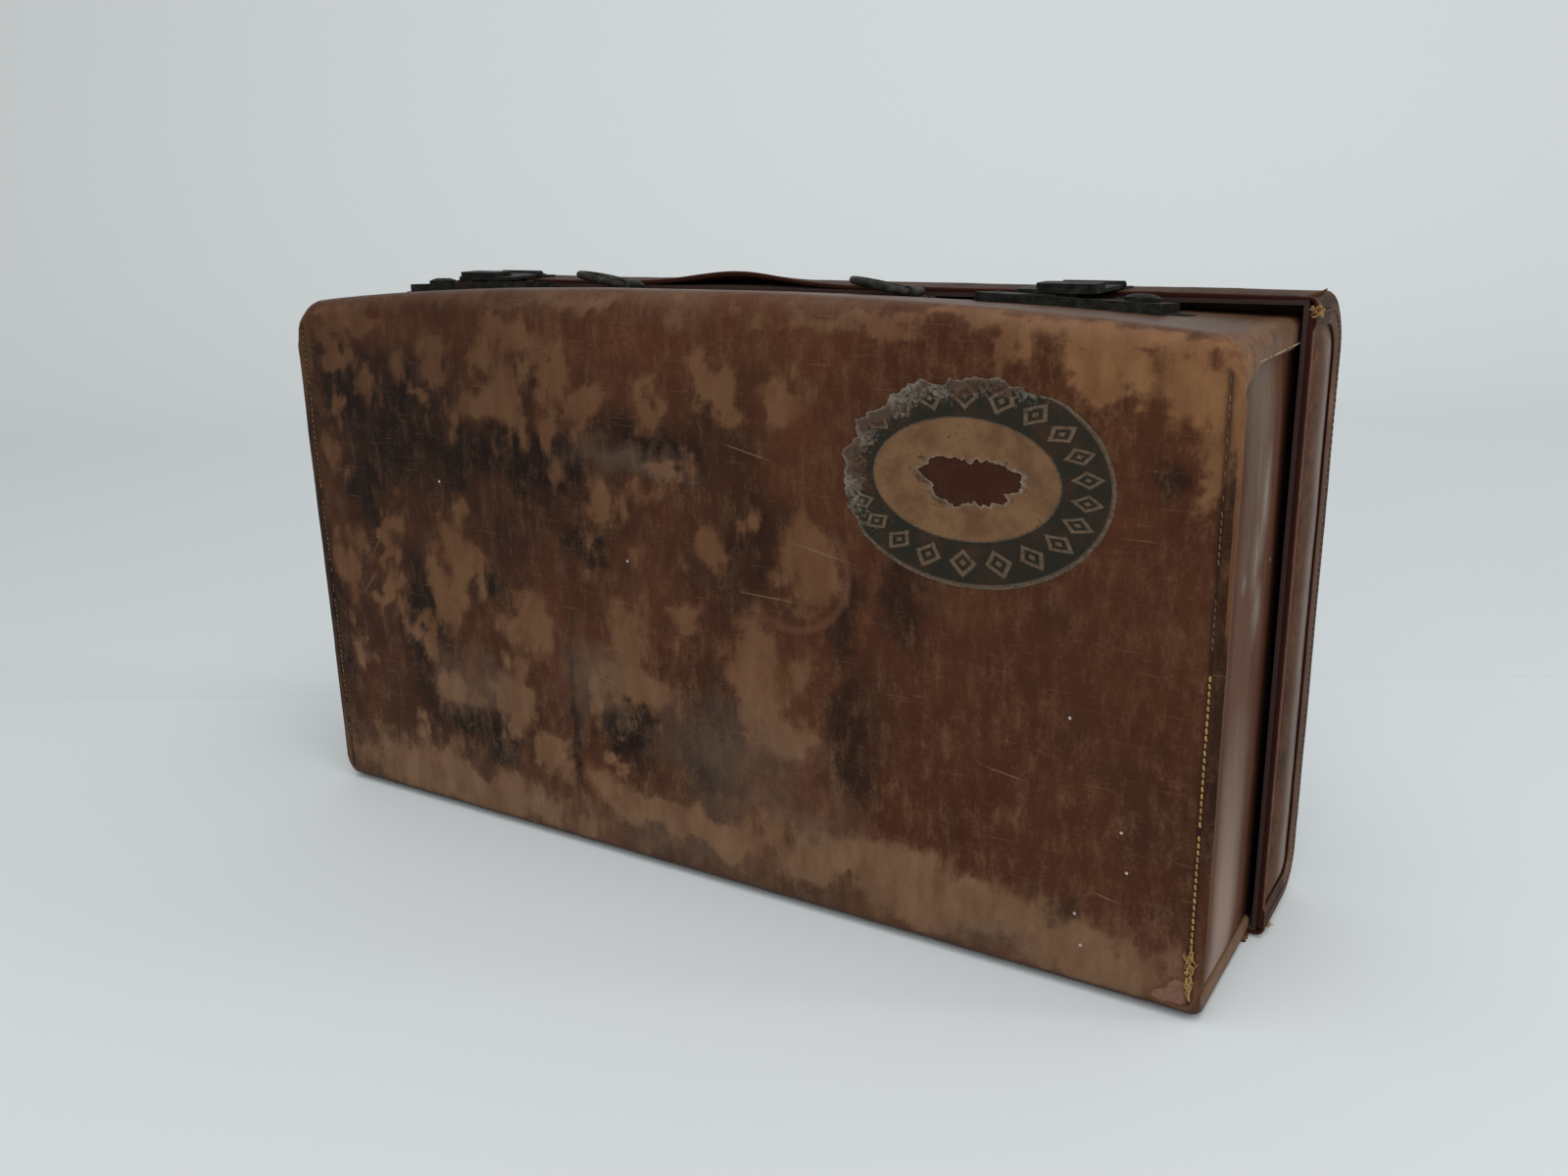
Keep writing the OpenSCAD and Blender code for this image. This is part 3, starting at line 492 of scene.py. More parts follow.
def lid_leather():
    """Darker leather of the lid, worn on its turns, with a painted pink highlight on its cut edges, painted shade in
    the groove beside the bead, and a bead whose crest is paler, partly rubbed and partly a painted highlight.
    """
    m = Finish("lid_leather", (0.023, 0.0095, 0.0052), 0.34, specular=0.07)
    blotch = m.noise(70, 5, 0.6)
    ragged = m.noise(7, 7, 0.72).signed(1.9)
    gloss, flap, cut = (m.attribute(key) for key in ("gloss", "flap", "cut"))
    m.paint(m.noise(24, 5, 0.6).ramp(0.35, 0.7), (0.072, 0.028, 0.012))
    worn = m.attribute("tan") + ragged
    m.paint(worn.ramp(-0.35, 0.25, 0, 0.65), (0.125, 0.052, 0.022))
    m.paint(worn.ramp(0.15, 0.55, 0, 0.75), (0.215, 0.110, 0.062))
    m.paint(blotch.ramp(0.56, 0.76, 0, 0.5), SOOT_AND_SHADE)
    m.paint(scratches(m, 0.2, 34).most(scratches(m, 1.3, 20, 0.73)) * 0.3, TAN_DEEP)
    # Paler along the bead's crest: partly rubbed wear, partly a painted highlight.
    m.paint(gloss * ragged.ramp(-0.9, 0.9, 0.24, 0.44), (0.225, 0.170, 0.135))
    m.paint(flap * ragged.ramp(-0.9, 0.9, 0.35, 0.75), (0.135, 0.080, 0.060))
    # Dark along the stitch rows, and in the groove beside the bead as painted shade.
    m.paint(m.attribute("seam") * 0.85, SOOT_AND_SHADE)
    # Painted highlight: a pink line along the cut edges, weaker on the flap and the flat rows.
    edge_highlight = cut.ramp(0.20, 0.35) * ragged.ramp(-0.7, 0.5, 0.1, 0.9)
    m.paint(edge_highlight * (flap + m.attribute("plain")).ramp(0, 1, 1, 0.15), (0.27, 0.125, 0.090))
    m.paint(cut.ramp(0.45, 0.75), (0.030, 0.009, 0.006))
    roughness = (blotch + ragged * 0.12).ramp(0.3, 0.7, 0.50, 0.64) - gloss * 0.22
    return m.finish(roughness, leather_grain(m, 0.8) + ragged, strength=0.45)


def label_paper():
    """A plain printed ring of lozenges round a tan oval."""
    m = Finish("label_paper", (0.017, 0.0145, 0.0088), 0.6, specular=0.12)
    x, _, z = m.axes()
    fibre, smear = m.noise(2.2, 6, 0.72), m.noise(14, 5, 0.65)
    inside, u, v = m.oval(x, z, OVAL_AT, OVAL_HALF)
    outside = m.oval(x, z, LABEL_AT, LABEL_HALF)[0]
    from_oval = (inside - 1) * 0.62
    share = from_oval / (from_oval + (1 - outside)).most(0.02)
    turns = m.math("ARCTAN2", v, u) * (LOZENGES / (2 * math.pi))
    far = abs(m.math("FRACT", turns) - 0.5) * 2 + abs(share - 0.5) * 2 * 1.25
    printed = (far.ramp(0.46, 0.52) * far.ramp(0.80, 0.74)).most(far.ramp(0.22, 0.16))
    border = share.ramp(0.90, 0.93).most(share.ramp(0.045, 0.02))
    pale = m.mix(smear, (0.092, 0.061, 0.037), (0.184, 0.129, 0.081))
    m.paint(smear.ramp(0.45, 0.62), (0.029, 0.0170, 0.0095))
    m.paint(printed * fibre.ramp(0.36, 0.56, 0.30, 0.85), pale)
    m.paint(border * fibre.ramp(0.36, 0.60, 0.2, 0.7), pale)
    oval = m.mix(smear.ramp(0.36, 0.60), (0.108, 0.055, 0.026), (0.172, 0.092, 0.044))
    m.paint(inside.ramp(1.01, 0.985), oval)
    scuff = m.attribute("scuff")
    m.paint((scuff + fibre.signed(2.2)).ramp(0.45, 0.75, 0, 0.6), (0.215, 0.185, 0.148))
    m.paint((scuff + (smear.signed(2.6) + fibre.signed(1.6))).ramp(0.50, 0.72, 0, 0.8), (0.048, 0.022, 0.012))
    m.paint(m.attribute("torn") * fibre.ramp(0.40, 0.58, 0.15, 0.75), (0.235, 0.20, 0.155))
    return m.finish(fibre.ramp(0.3, 0.7, 0.5, 0.75), fibre, 0.15, 0.5)


def linen_thread(name, light, dark):
    m = Finish(name, dark, 0.75)
    twist = m.noise(0.5, 2, 0.5)
    m.paint((m.attribute("tone") + twist) * 0.5, light)
    return m.finish(height=twist, distance=0.15)


def iron(name, body, rubbed, roughness=0.50, metallic=0.12):
    m = Finish(name, body, roughness, metallic, 0.07)
    fine = m.noise(1.1, 4, 0.6)
    m.paint((m.noise(7, 5, 0.65) + fine * 0.35).ramp(0.62, 0.86), rubbed)
    return m.finish(fine.ramp(0.3, 0.7, roughness - 0.08, roughness + 0.14), fine, 0.12, 0.5)


def rim_facing(m, width):
    """The dark leather facing along the lid's rim, as a share from 0 to 1."""
    y = m.axes()[1]
    return y.ramp(RIM_Y + width, RIM_Y + width - 1) * y.ramp(RIM_Y - 1, RIM_Y)


def lining_cloth():
    """Woven cloth, faced with leather at the lid's rim."""
    m = Finish("lining_cloth", (0.42, 0.34, 0.24), 0.85)
    m.paint(m.noise(90, 5, 0.6).ramp(0.4, 0.7), (0.26, 0.19, 0.125))
    m.paint(rim_facing(m, 20), RIM_FACING)
    weave = m.noise(0.9, 1, 0.5, (1, 1, 0.15)) + m.noise(0.9, 1, 0.5, (0.15, 1, 1))
    return m.finish(height=weave, distance=0.25)


def fibre_board():
    m = Finish("fibre_board", (0.10, 0.065, 0.042), 0.8)
    fibres = m.noise(2.5, 5, 0.7, (0.4, 1, 1))
    m.paint(fibres, (0.26, 0.185, 0.12))
    m.paint(rim_facing(m, 4), RIM_FACING)
    return m.finish(height=fibres)


HIDE, END, LID = hide_leather(), end_leather(), lid_leather()
LABEL = label_paper()
THREAD = linen_thread("linen_thread", (0.46, 0.29, 0.085), (0.17, 0.085, 0.022))
THREAD_EDGE = linen_thread("edge_thread", (0.21, 0.12, 0.042), (0.060, 0.030, 0.012))
THREAD_DARK = linen_thread("worn_thread", (0.16, 0.09, 0.045), (0.035, 0.02, 0.012))
THREAD_PALE = linen_thread("pale_thread", (0.40, 0.31, 0.21), (0.15, 0.10, 0.065))
IRON = iron("black_iron", (0.0090, 0.0090, 0.0073), (0.029, 0.0275, 0.0225))
RING_IRON = iron("ring_iron", (0.013, 0.013, 0.0105), (0.052, 0.048, 0.039), 0.44)
STEEL = iron("dull_steel", (0.22, 0.215, 0.205), (0.34, 0.33, 0.31), 0.38, 0.6)
CLOTH, BOARD = lining_cloth(), fibre_board()


# Wear on the front
# Each patch: middle along the case, height, half width, half height and, where it leans, tilt in degrees
TAN_PATCHES = [
    (-271, 347, 41, 9), (-288, 317, 10, 12), (-258, 306, 11, 14, 10), (-190, 320, 13, 14, -25),
    (-209, 297, 6, 7, 20), (-148, 322, 8, 14), (-129, 300, 13, 30, 12), (-92, 318, 13, 21, 10),
    (-67, 298, 13, 18), (-23, 303, 12, 17), (-6, 267, 11, 7), (-178, 228, 10, 12),
    (-60, 236, 15, 16), (-290, 283, 6, 16), (-296, 250, 12, 15), (-254, 197, 5, 21, -30),
    (-189, 195, 16, 21), (-137, 344, 9, 7), (33, 311, 15, 12), (77, 310, 17, 12),
    (265, 355, 62, 9), (261, 337, 31, 10, -6), (301, 329, 13, 25), (311, 300, 5, 34),
    (206, 347, 8, 10), (-203, 20, 112, 22, -4), (-257, 159, 7, 18, -20), (-216, 126, 11, 26),
    (-199, 162, 14, 28), (-144, 93, 20, 22), (-44, 155, 23, 23, -20), (-34, 124, 35, 15, -10),
    (49, 146, 20, 40), (-12, 40, 76, 15, -5), (-113, 60, 15, 18), (-59, 71, 5, 10),
    (86, 220, 23, 26, 20), (116, 42, 70, 17, 4), (185, 34, 66, 19, 2), (266, 22, 50, 16),
    (112, 356, 52, 5, 2), (-60, 360, 34, 4), (184, 360, 30, 6), (-118, 338, 30, 8),
    (22, 220, 14, 18), (70, 112, 21, 19), (-126, 149, 13, 21), (2, 169, 15, 13),
]
DARK_PATCHES = [
    (-236, 282, 58, 44), (-284, 300, 24, 34), (-150, 262, 62, 20, 4), (-268, 232, 22, 36),
    (-225, 134, 24, 54), (14, 91, 23, 31), (150, 215, 12, 26),
    (-159, 60, 13, 19, -10), (-48, 95, 24, 24, -30), (-91, 88, 4, 68), (-21, 275, 44, 21),
    (-158, 172, 22, 15), (-71, 209, 17, 19), (-188, 68, 24, 15), (-271, 29, 10, 10),
    (290, 280, 11, 5, -15), (249, 42, 10, 8, -20), (200, 17, 7, 6), (117, 116, 14, 32),
    (111, 197, 9, 32), (-98, 262, 32, 19),
]
DUST_PATCHES = [
    (-89, 364, 80, 7), (-13, 18, 99, 11), (186, 14, 61, 12), (-175, 99, 33, 22),
    (-78, 123, 25, 31), (-36, 268, 45, 12), (35, 92, 60, 30), (60, 60, 70, 16),
]


def patch_field(x, z, patches):
    """About 1 in the middle of a patch, 0 on its edge, -1 far from all of them."""
    best = np.full(np.shape(x), -1.0)
    for px, pz, half_x, half_z, *lean in patches:
        dx, dz = x - px, z - pz
        tilt = math.radians(lean[0]) if lean else 0.0
        c, s = math.cos(tilt), math.sin(tilt)
        d = np.hypot((dx * c + dz * s) / half_x, (dz * c - dx * s) / half_z)
        best = np.maximum(best, 1 - d)
    return best


RAW_PATCHES = [(309, 16, 8, 7, 35), (302, 12, 7, 4, 10)]


def wear_fields(x, z):
    """Bare, dark, dusty and torn places on the panel, with ragged outlines."""
    at = stack(x, 0, z)
    shift_x = 9 * fractal(at, 30, 3, 21) + 7 * fractal(at, 11, 3, 22)
    shift_z = 12 * fractal(at, 34, 3, 23) + 8 * fractal(at, 13, 3, 24)
    warped = x + shift_x, z + shift_z
    mottle = fractal(at * (1, 1, 0.6), 26, 4, 25)
    left = 1 - smooth(x, 60, 170)
    broken = np.maximum(0, fractal(at * (1, 1, 0.7), 17, 3, 27))
    tan = patch_field(*warped, TAN_PATCHES) - 0.55 * broken * left
    tan = np.maximum(tan, 1.5 * mottle * (0.15 + 0.85 * left) - 0.85) - 0.3 * (1 - left) * (tan < -0.6)
    smoky = 0.7 * fractal(at * (1, 1, 0.7), 60, 4, 26) - 0.40 - 0.6 * (1 - left)
    tan = np.maximum(tan, -0.95 + 0.6 * smooth(z, 322, 350))
    dark = np.maximum(patch_field(*warped, DARK_PATCHES), smoky) - 0.9 * smooth(z, 318, 345)
    edge = smooth(np.abs(x), 315.5, 317.5) * smooth(z, 70, 110)
    dark = np.maximum(dark, edge * (0.5 + 0.9 * fractal(at * (0, 0, 1), 35, 4, 28)) - (1 - edge))
    return tan, dark, patch_field(*warped, DUST_PATCHES), patch_field(x, z, RAW_PATCHES)


SEAM_X = 314.5
CREASE_X, CREASE_LOW, CREASE_HIGH = -91, 20, 160


def crease(x, z, width):
    """The old dent that runs up the front, left of its middle, from 0 to 1."""
    along = smooth(z, CREASE_LOW, CREASE_LOW + 20) * (1 - smooth(z, CREASE_HIGH - 25, CREASE_HIGH))
    return along * ridge(x - CREASE_X, width)


def front_relief(x, z):
    """How far the worn front panel stands out from its even face."""
    at = stack(x, FRONT_Y, z)
    out = 0.7 * fractal(at, 120, 2, 1) + 0.25 * fractal(at, 26, 3, 2)
    out -= 0.5 * ridge(np.abs(x) - SEAM_X, 1.5) + 0.45 * crease(x, z, 1.6)
    return out - 0.8 * smooth(np.abs(x), 317.5, 320)


# The base's big hide
def arch(x):
    return 1 - np.minimum(1, np.abs(x) / BASE_HALF) ** 2.4


def rise(y):
    share = np.clip((y - FRONT_Y) / SHOW, 0, None)
    showing = FRONT_RISE - (FRONT_RISE - RIM_RISE) * np.minimum(share, 1) ** 1.6
    return showing - 0.0786 * np.maximum(y - RIM_Y, 0)


def top_z(x, y):
    return BASE_H + rise(y) * arch(x)


def roll_r(y):
    return np.interp(y - FRONT_Y, [10, 55], [CORNER_R, END_ROLL_R])


def panel_columns(flat_step, half, roll_steps, tab_steps):
    """Columns of a wrapped panel: place along the flat part, roll angle, share of the tab."""
    n = round(half / flat_step)
    right = [(f, 0, 0) for f in np.linspace(0, 1, n + 1)[1:]]
    right += [(1, a, 0) for a in np.linspace(0, HALF_PI, roll_steps + 1)[1:]]
    right += [(1, HALF_PI, t) for t in np.linspace(0, 1, tab_steps + 1)[1:]]
    return np.array([(-f, -a, t) for f, a, t in reversed(right)] + [(0, 0, 0)] + right)


BOTTOM, BOTTOM_TURN, FACE, TOP_TURN, TOP = range(5)


def panel_rows(bottom, foot_turn, face, top_turn, top):
    """Rows of a wrapped panel: their kind, and the depth, angle or share of height in it."""
    rows = [(BOTTOM, y) for y in bottom[:-1]]
    rows += [(BOTTOM_TURN, a) for a in np.linspace(HALF_PI, 0, foot_turn)[:-1]]
    rows += [(FACE, s) for s in np.linspace(0, 1, face)]
    rows += [(TOP_TURN, a) for a in np.linspace(0, HALF_PI, top_turn)[1:]]
    return np.array(rows + [(TOP, y) for y in top[1:]])


def by_kind(kind, *choices):
    """For each row the choice that belongs to its kind."""
    return np.choose(kind.astype(int), choices)


def spread(cols, rows):
    """Columns and rows of a panel set against each other, with the columns' sides and the rows' slopes."""
    flat, roll, tab = (c[:, None] for c in cols.T)
    kind, value = (r[None, :] for r in rows.T)
    slope = by_kind(kind, -HALF_PI, -value, 0, value, HALF_PI)
    return flat, np.sign(flat), np.abs(roll), tab, kind, value, slope


def base_grid(flat, side, turn, tab, kind, value, phi):
    """Points and outward normals of the base panel's outer face."""
    low_y, high_y = (FRONT_Y + fold * (1 - np.cos(value)) for fold in (BOTTOM_FOLD, TOP_FOLD))
    y = by_kind(kind, value, low_y, FRONT_Y, high_y, value)
    r = by_kind(kind, FOOT_ROLL_R, FOOT_CORNER_R + (FOOT_ROLL_R - FOOT_CORNER_R) * value / HALF_PI,
                FOOT_CORNER_R + (CORNER_R - FOOT_CORNER_R) * value, roll_r(y), roll_r(y))
    x = flat * (BASE_HALF - r) + side * r * np.sin(turn)
    fall = 1 - np.cos(turn)
    fold_top = top_z(x, FRONT_Y + TOP_FOLD) - TOP_FOLD - CORNER_R * fall
    fold_bottom = WRAP_Z + BOTTOM_FOLD + np.where(kind == BOTTOM_TURN, r, FOOT_CORNER_R) * fall
    z = by_kind(kind, WRAP_Z + r * fall, fold_bottom - BOTTOM_FOLD * np.sin(value),
                fold_bottom + (fold_top - fold_bottom) * value,
                fold_top + TOP_FOLD * np.sin(value), top_z(x, y) - r * fall)
    length = np.where(phi > 0, np.maximum(2, END_TAB - r), FOOT_TAB)
    x = x + side * tab * 0.8 * np.cos(phi)
    z = z - tab * length * np.sin(phi)
    normal = stack(side * np.sin(turn) * np.abs(np.sin(phi)), -np.cos(phi), np.cos(turn) * np.sin(phi))
    return stack(x, y, z), normal


def hide_wear(even_face, tab, kind, value):
    """The wear of the base's hide, with a painted shade under the bottom fold and a painted sheen on the top fold,
    one field for each attribute that its material reads.
    """
    x, y, z = np.moveaxis(even_face, -1, 0)
    on_face, past = kind == FACE, y - FRONT_Y
    run_z = z + np.where(kind >= TOP_TURN, past, 0) - np.where(kind <= BOTTOM_TURN, past, 0)
    tan, dark, dust, raw = wear_fields(x, run_z)
    end_edge = smooth(np.abs(x), 296, 320)
    tan = np.maximum(tan, 0.5 * end_edge * smooth(run_z, 250, 330) - 0.25)
    tan = np.where(kind >= TOP, np.minimum(tan, -0.45 + 0.5 * end_edge), tan)
    edge_line = smooth(x, 318.6, 320.2) * smooth(z, 150, 240) * on_face
    tan = np.maximum(tan, 1.35 * edge_line - 1)
    dust = np.maximum(dust, 0.6 * smooth(run_z, 75, 12) - 0.45)
    streaky = fractal(stack(x, 0, 0 * z), 38, 4, 29)
    # Painted sheen: streaks along the top fold raise this field, so the fold is painted paler where it catches the
    # light.
    dust = np.maximum(dust, (0.85 + 0.6 * streaky) * smooth(run_z, 338, 372) - 0.55)
    dust = np.where((tab > 0) & ~on_face, 0.75, dust)
    tone = 0.15 + 0.6 * smooth(run_z, 200, 40) + 0.75 * smooth(x, 120, 250) * smooth(z, 250, 330)
    raw = np.where(kind >= TOP_TURN, -1, raw)
    # Painted shade: the underside of the bottom fold, turning under towards the floor, is painted darker and less
    # worn.
    under = np.where(kind == BOTTOM_TURN, smooth(value, 0.35, 0.9), 0) * (tab == 0)
    dark, tan = np.maximum(dark, 1.6 * under - 1), tan - under
    flap = (tab > 0) & (kind <= BOTTOM_TURN)
    tan, dark = np.where(flap, 0.15, tan), np.where(flap, -1, dark)
    sheen = np.maximum(by_kind(kind, 0, 0, 0, np.sin(value), 1), 0.6 * smooth(np.abs(x), 316, 320))
    # The seams, and the crease, whose darkening is painted shade in its dent.
    seam = (ridge(np.abs(x) - SEAM_X, 1.6) + 0.6 * crease(x, z, 1.5)) * on_face
    return {"tan": tan, "tone": tone, "dark": dark, "dust": dust, "raw": raw, "sheen": sheen,
            "seam": np.clip(seam, 0, 1)}


def build_base_wrap():
    cols = panel_columns(3, BASE_HALF - CORNER_R, 15, 4)
    rows = panel_rows(even(RIM_Y - HINGE_GAP, FRONT_Y + BOTTOM_FOLD, 12), 7, 112, 8,
                      even(FRONT_Y + TOP_FOLD, WALL_END_Y, 4))
    panel = spread(cols, rows)
    *_, tab, kind, value, phi = panel
    even_face, normal = base_grid(*panel)
    x, _, z = np.moveaxis(even_face, -1, 0)
    top = 0.25 * fractal(even_face, 90, 2, 3) + 0.08 * fractal(even_face, 18, 3, 4)
    on_front = by_kind(kind, 0, 0, 1, np.cos(value), 0)
    relief = on_front * front_relief(x, z) + (1 - on_front) * top
    skive = 1.3 * (tab > 0.99) * np.abs(np.sin(phi))
    faces = even_face + (relief - skive)[..., None] * normal, even_face - HIDE_T * normal
    obj = sheet("base_hide", *faces, HIDE, hide_wear(even_face, tab, kind, value), base_sag)
    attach(obj, "base")
    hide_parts("base_wrap")


build_base_wrap()


# End walls of the base
def build_end_wall(side, name):
    ys = even(FRONT_Y + HIDE_T + 0.1, WALL_END_Y, 2.5)[:, None]
    r = roll_r(ys)
    top = BASE_H - r + np.sqrt((r - HIDE_T) ** 2 - (END_WALL_X - BASE_HALF + r) ** 2) - 0.3
    low = WRAP_Z + 5.5
    share = np.linspace(0, 1, 90)[None, :]
    z = low + (top - low) * share
    swell = smooth(ys, FRONT_Y, FRONT_Y + 9) * (1 - smooth(ys, RIM_Y - 26, RIM_Y - 2))
    swell = swell * smooth(z, low, low + 30) * (1 - smooth(z, top - 45, top - 10))
    at = stack(0, ys, z)
    outward = 1.9 * swell * (1 + 0.35 * fractal(at, 80, 2, 5)) + 0.12 * fractal(at, 18, 3, 6)
    faces = (stack(side * (END_WALL_X + out), ys, z) for out in (outward, -END_HIDE_T))
    # Painted shadow: darker towards the back edge, where the lid's skirt shades the wall.
    dark = smooth(ys, RIM_Y - 22, RIM_Y + 4)
    # Grey over the front part of the wall: partly dust, partly painted sheen.
    dust = 0.8 * smooth(ys, FRONT_Y + 6, FRONT_Y + 34) * (1 - smooth(ys, RIM_Y - 54, RIM_Y - 24))
    obj = sheet(name + "_leather", *faces, END, {"dark": dark, "dust": dust}, base_sag)
    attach(obj, "base")
    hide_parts(name)


build_end_wall(-1, "end_wall_left")
build_end_wall(1, "end_wall_right")


# The lid's big hide
def wave(x, y):
    return WAVE_H * ridge(x - WAVE_X, WAVE_W) * np.maximum(0, 1 - (y - RIM_Y) / WAVE_DEPTH)


def lid_section(kind, value):
    r = np.where(kind <= BOTTOM_TURN, LID_FOOT_R, LID_EDGE_R)
    turn_y = BACK_Y - r + r * np.cos(value)
    low, high = WRAP_Z + LID_FOOT_R, LID_H - LID_EDGE_R
    z = by_kind(kind, WRAP_Z, low - r * np.sin(value), low + (high - low) * value,
                high + r * np.sin(value), LID_H)
    return by_kind(kind, value, turn_y, BACK_Y, turn_y, value), z


def build_lid_wrap():
    cols = panel_columns(4.5, LID_HALF - LID_ROLL_R, 7, 5)
    rows = panel_rows(even(RIM_Y + HINGE_GAP, BACK_Y - LID_FOOT_R, 8), 11, 60, 11,
                      even(BACK_Y - LID_EDGE_R, RIM_Y, 3))
    flat, side, turn, tab, kind, value, phi = spread(cols, rows)
    x = flat * (LID_HALF - LID_ROLL_R) + side * LID_ROLL_R * np.sin(turn)
    y0, z0 = lid_section(kind, value)
    lift = np.where(kind == TOP, wave(x, y0), 0)
    into = LID_ROLL_R * (1 - np.cos(turn)) + tab * LID_TAB
    y, z = y0 - into * np.cos(phi), z0 + lift - into * np.sin(phi)
    even_face = stack(x, y, z)
    normal = stack(side * np.sin(turn), np.cos(turn) * np.cos(phi), np.cos(turn) * np.sin(phi))
    stitched = ridge(into - STITCH_INSET, 1.2)
    relief = 0.6 * fractal(even_face, 130, 2, 8) + 0.15 * fractal(even_face, 24, 3, 9)
    relief = relief - 0.35 * stitched - 0.9 * (tab > 0.99)
    faces = even_face + relief[..., None] * normal, even_face - HIDE_T * normal
    turned = np.sin(2 * turn) * (tab == 0)
    flat_row = np.isin(kind, (BOTTOM, TOP))
    rim = smooth(y, RIM_Y + 9, RIM_Y) * flat_row
    on_turn = np.sin(2 * value) * np.isin(kind, (BOTTOM_TURN, TOP_TURN))
    corner = smooth(np.abs(x), 285, 330) * smooth(np.abs(z - LID_H / 2), 120, 175)
    tan = -0.62 + 0.4 * turned + 0.15 * rim + 0.32 * on_turn + 0.6 * corner * smooth(y, 50, 85)
    patchy = np.maximum(0, fractal(even_face * (1, 1, 0.8), 55, 4, 10) - 0.18)
    foot = smooth(z, 70, 15) * (kind <= FACE)
    tan = tan + (1.5 * patchy + 0.35 * foot) * ~flat_row
    flap = smooth(tab, 0, 0.3) * ~flat_row
    obj = sheet("lid_hide", *faces, LID,
                {"tan": tan, "seam": 0.6 * stitched, "flap": flap, "plain": 0.8 * flat_row}, lid_sag)
    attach(obj, "lid")
    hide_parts("lid_wrap")


build_lid_wrap()

BEAD_FROM, BEAD_TO, BEAD_OUT = RIM_Y + 7, RIM_Y + 54, 3.0


def edge_drop(y, r):
    """How far the end leather's outline is drawn in by a rounded edge of the lid, at a depth."""
    beyond = np.maximum(0, y - (BACK_Y - r))
    inner = r - LID_ROLL_R
    return inner - np.sqrt(np.maximum(0, inner ** 2 - beyond ** 2))


def build_lid_end(side, name):
    ys = np.concatenate([even(RIM_Y + HINGE_GAP, BEAD_TO + 4, 1.3),
                         even(BEAD_TO + 4, BACK_Y - LID_ROLL_R - 0.4, 2)[1:]])[:, None]
    low = WRAP_Z + LID_ROLL_R + 0.2 + edge_drop(ys, LID_FOOT_R)
    high = LID_H - LID_ROLL_R - 0.2 - edge_drop(ys, LID_EDGE_R)
    z = low + (high - low) * np.linspace(0, 1, 110)[None, :]
    to_edge = np.minimum(z - low, high - z)
    at = stack(0, ys, z)
    across = np.clip((ys - BEAD_FROM) / (BEAD_TO - BEAD_FROM), 0, 1)
    fade = smooth(to_edge, 6, 26)
    bead = BEAD_OUT * np.sin(np.pi * across) ** 0.8 * fade * (1 + 0.18 * fractal(at, 60, 2, 12))
    groove = 1.1 * ridge(ys - BEAD_FROM + 1, 1.1) * fade
    welt = 1.4 * smooth(ys, BEAD_FROM - 1, BEAD_FROM - 3.5)
    under = smooth(ys, BACK_Y - LID_ROLL_R - LID_TAB - 1, BACK_Y - LID_ROLL_R - LID_TAB - 5)
    outward = (bead - groove + welt) * under + 0.1 * fractal(at, 14, 3, 13) * under
    tabs = smooth(to_edge, LID_TAB + 1.5, LID_TAB + 7)
    outward = outward * np.where(ys < BEAD_FROM, 1, tabs)
    faces = (stack(side * (LID_END_X + out), ys, z) for out in (outward, -END_HIDE_T))
    tan = np.where(ys < BEAD_FROM - 1, -0.3, -0.02) + 0.15 * smooth(ys, BEAD_TO - 8, BEAD_TO + 4)
    # On the bead's crest: lower roughness, and a paler colour that is partly wear and partly a painted highlight.
    # The seam field darkens the groove beside the bead, a painted shade.
    gloss, seam = ridge(across - 0.54, 0.20) * fade, ridge(ys - BEAD_FROM + 1, 1.5)
    obj = sheet(name + "_leather", *faces, LID, {"tan": tan, "seam": seam, "gloss": gloss}, lid_sag)
    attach(obj, "lid")
    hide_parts(name)


build_lid_end(-1, "lid_end_left")
build_lid_end(1, "lid_end_right")


# Stitches
def stitch_row(name, points, normal, body, material, length=3.3, radius=0.42, skip=0.0):
    """Saddle stitches along a row of points, each a short thread that dips into its holes."""
    n, paths = Vector(normal), []
    for k in range(len(points) - 1):
        a, b = Vector(points[k]), Vector(points[k + 1])
        if random.random() < skip:
            continue
        along = (b - a).normalized()
        mid = (a + b) / 2 + n * random.uniform(-0.1, 0.1)
        half = length / 2 * random.uniform(0.9, 1.05)
        lean = n.cross(along) * random.uniform(0.1, 0.35)
        paths.append([mid + along * (t * half) + lean * t + n * (0.42 * (1 - 1.9 * t * t))
                      for t in (-1, -0.6, 0, 0.6, 1)])
    obj = tubes(name, paths, radius, material)
    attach(obj, body)


PITCH = 3.9


def front_stitches(side, label):
    zs = even(22, 336, PITCH)
    xs = side * (SEAM_X - 1.5 * smooth(zs, 50, 20))
    ys = FRONT_Y - front_relief(xs, zs)
    points = stack(xs, ys, zs)
    ahead = (0, -1, 0)
    if side > 0:
        split = np.searchsorted(zs, 195)
        stitch_row("front_stitches_low_right", points[:split], ahead, "base", THREAD, 3.1, 0.62, 0.015)
        stitch_row("front_stitches_high_right", points[split:], ahead, "base", THREAD_DARK, skip=0.25)
    else:
        stitch_row("front_stitches_left", points, ahead, "base", THREAD_EDGE, skip=0.08)
    ys = even(FRONT_Y + 20, WALL_END_Y - 4, PITCH)
    points = lower(stack(side * BASE_HALF, ys, BASE_H - 12.5), base_sag)
    stitch_row("end_flap_stitches_" + label, points, (side, 0, 0), "base", THREAD_PALE, 3.0, 0.38, 0.3)
    points = stack(side * (BASE_HALF - 0.3), ys, 8.5)
    stitch_row("end_foot_stitches_" + label, points, (side, 0, 0), "base", THREAD_DARK, 2.4, 0.35)


front_stitches(-1, "left")
front_stitches(1, "right")


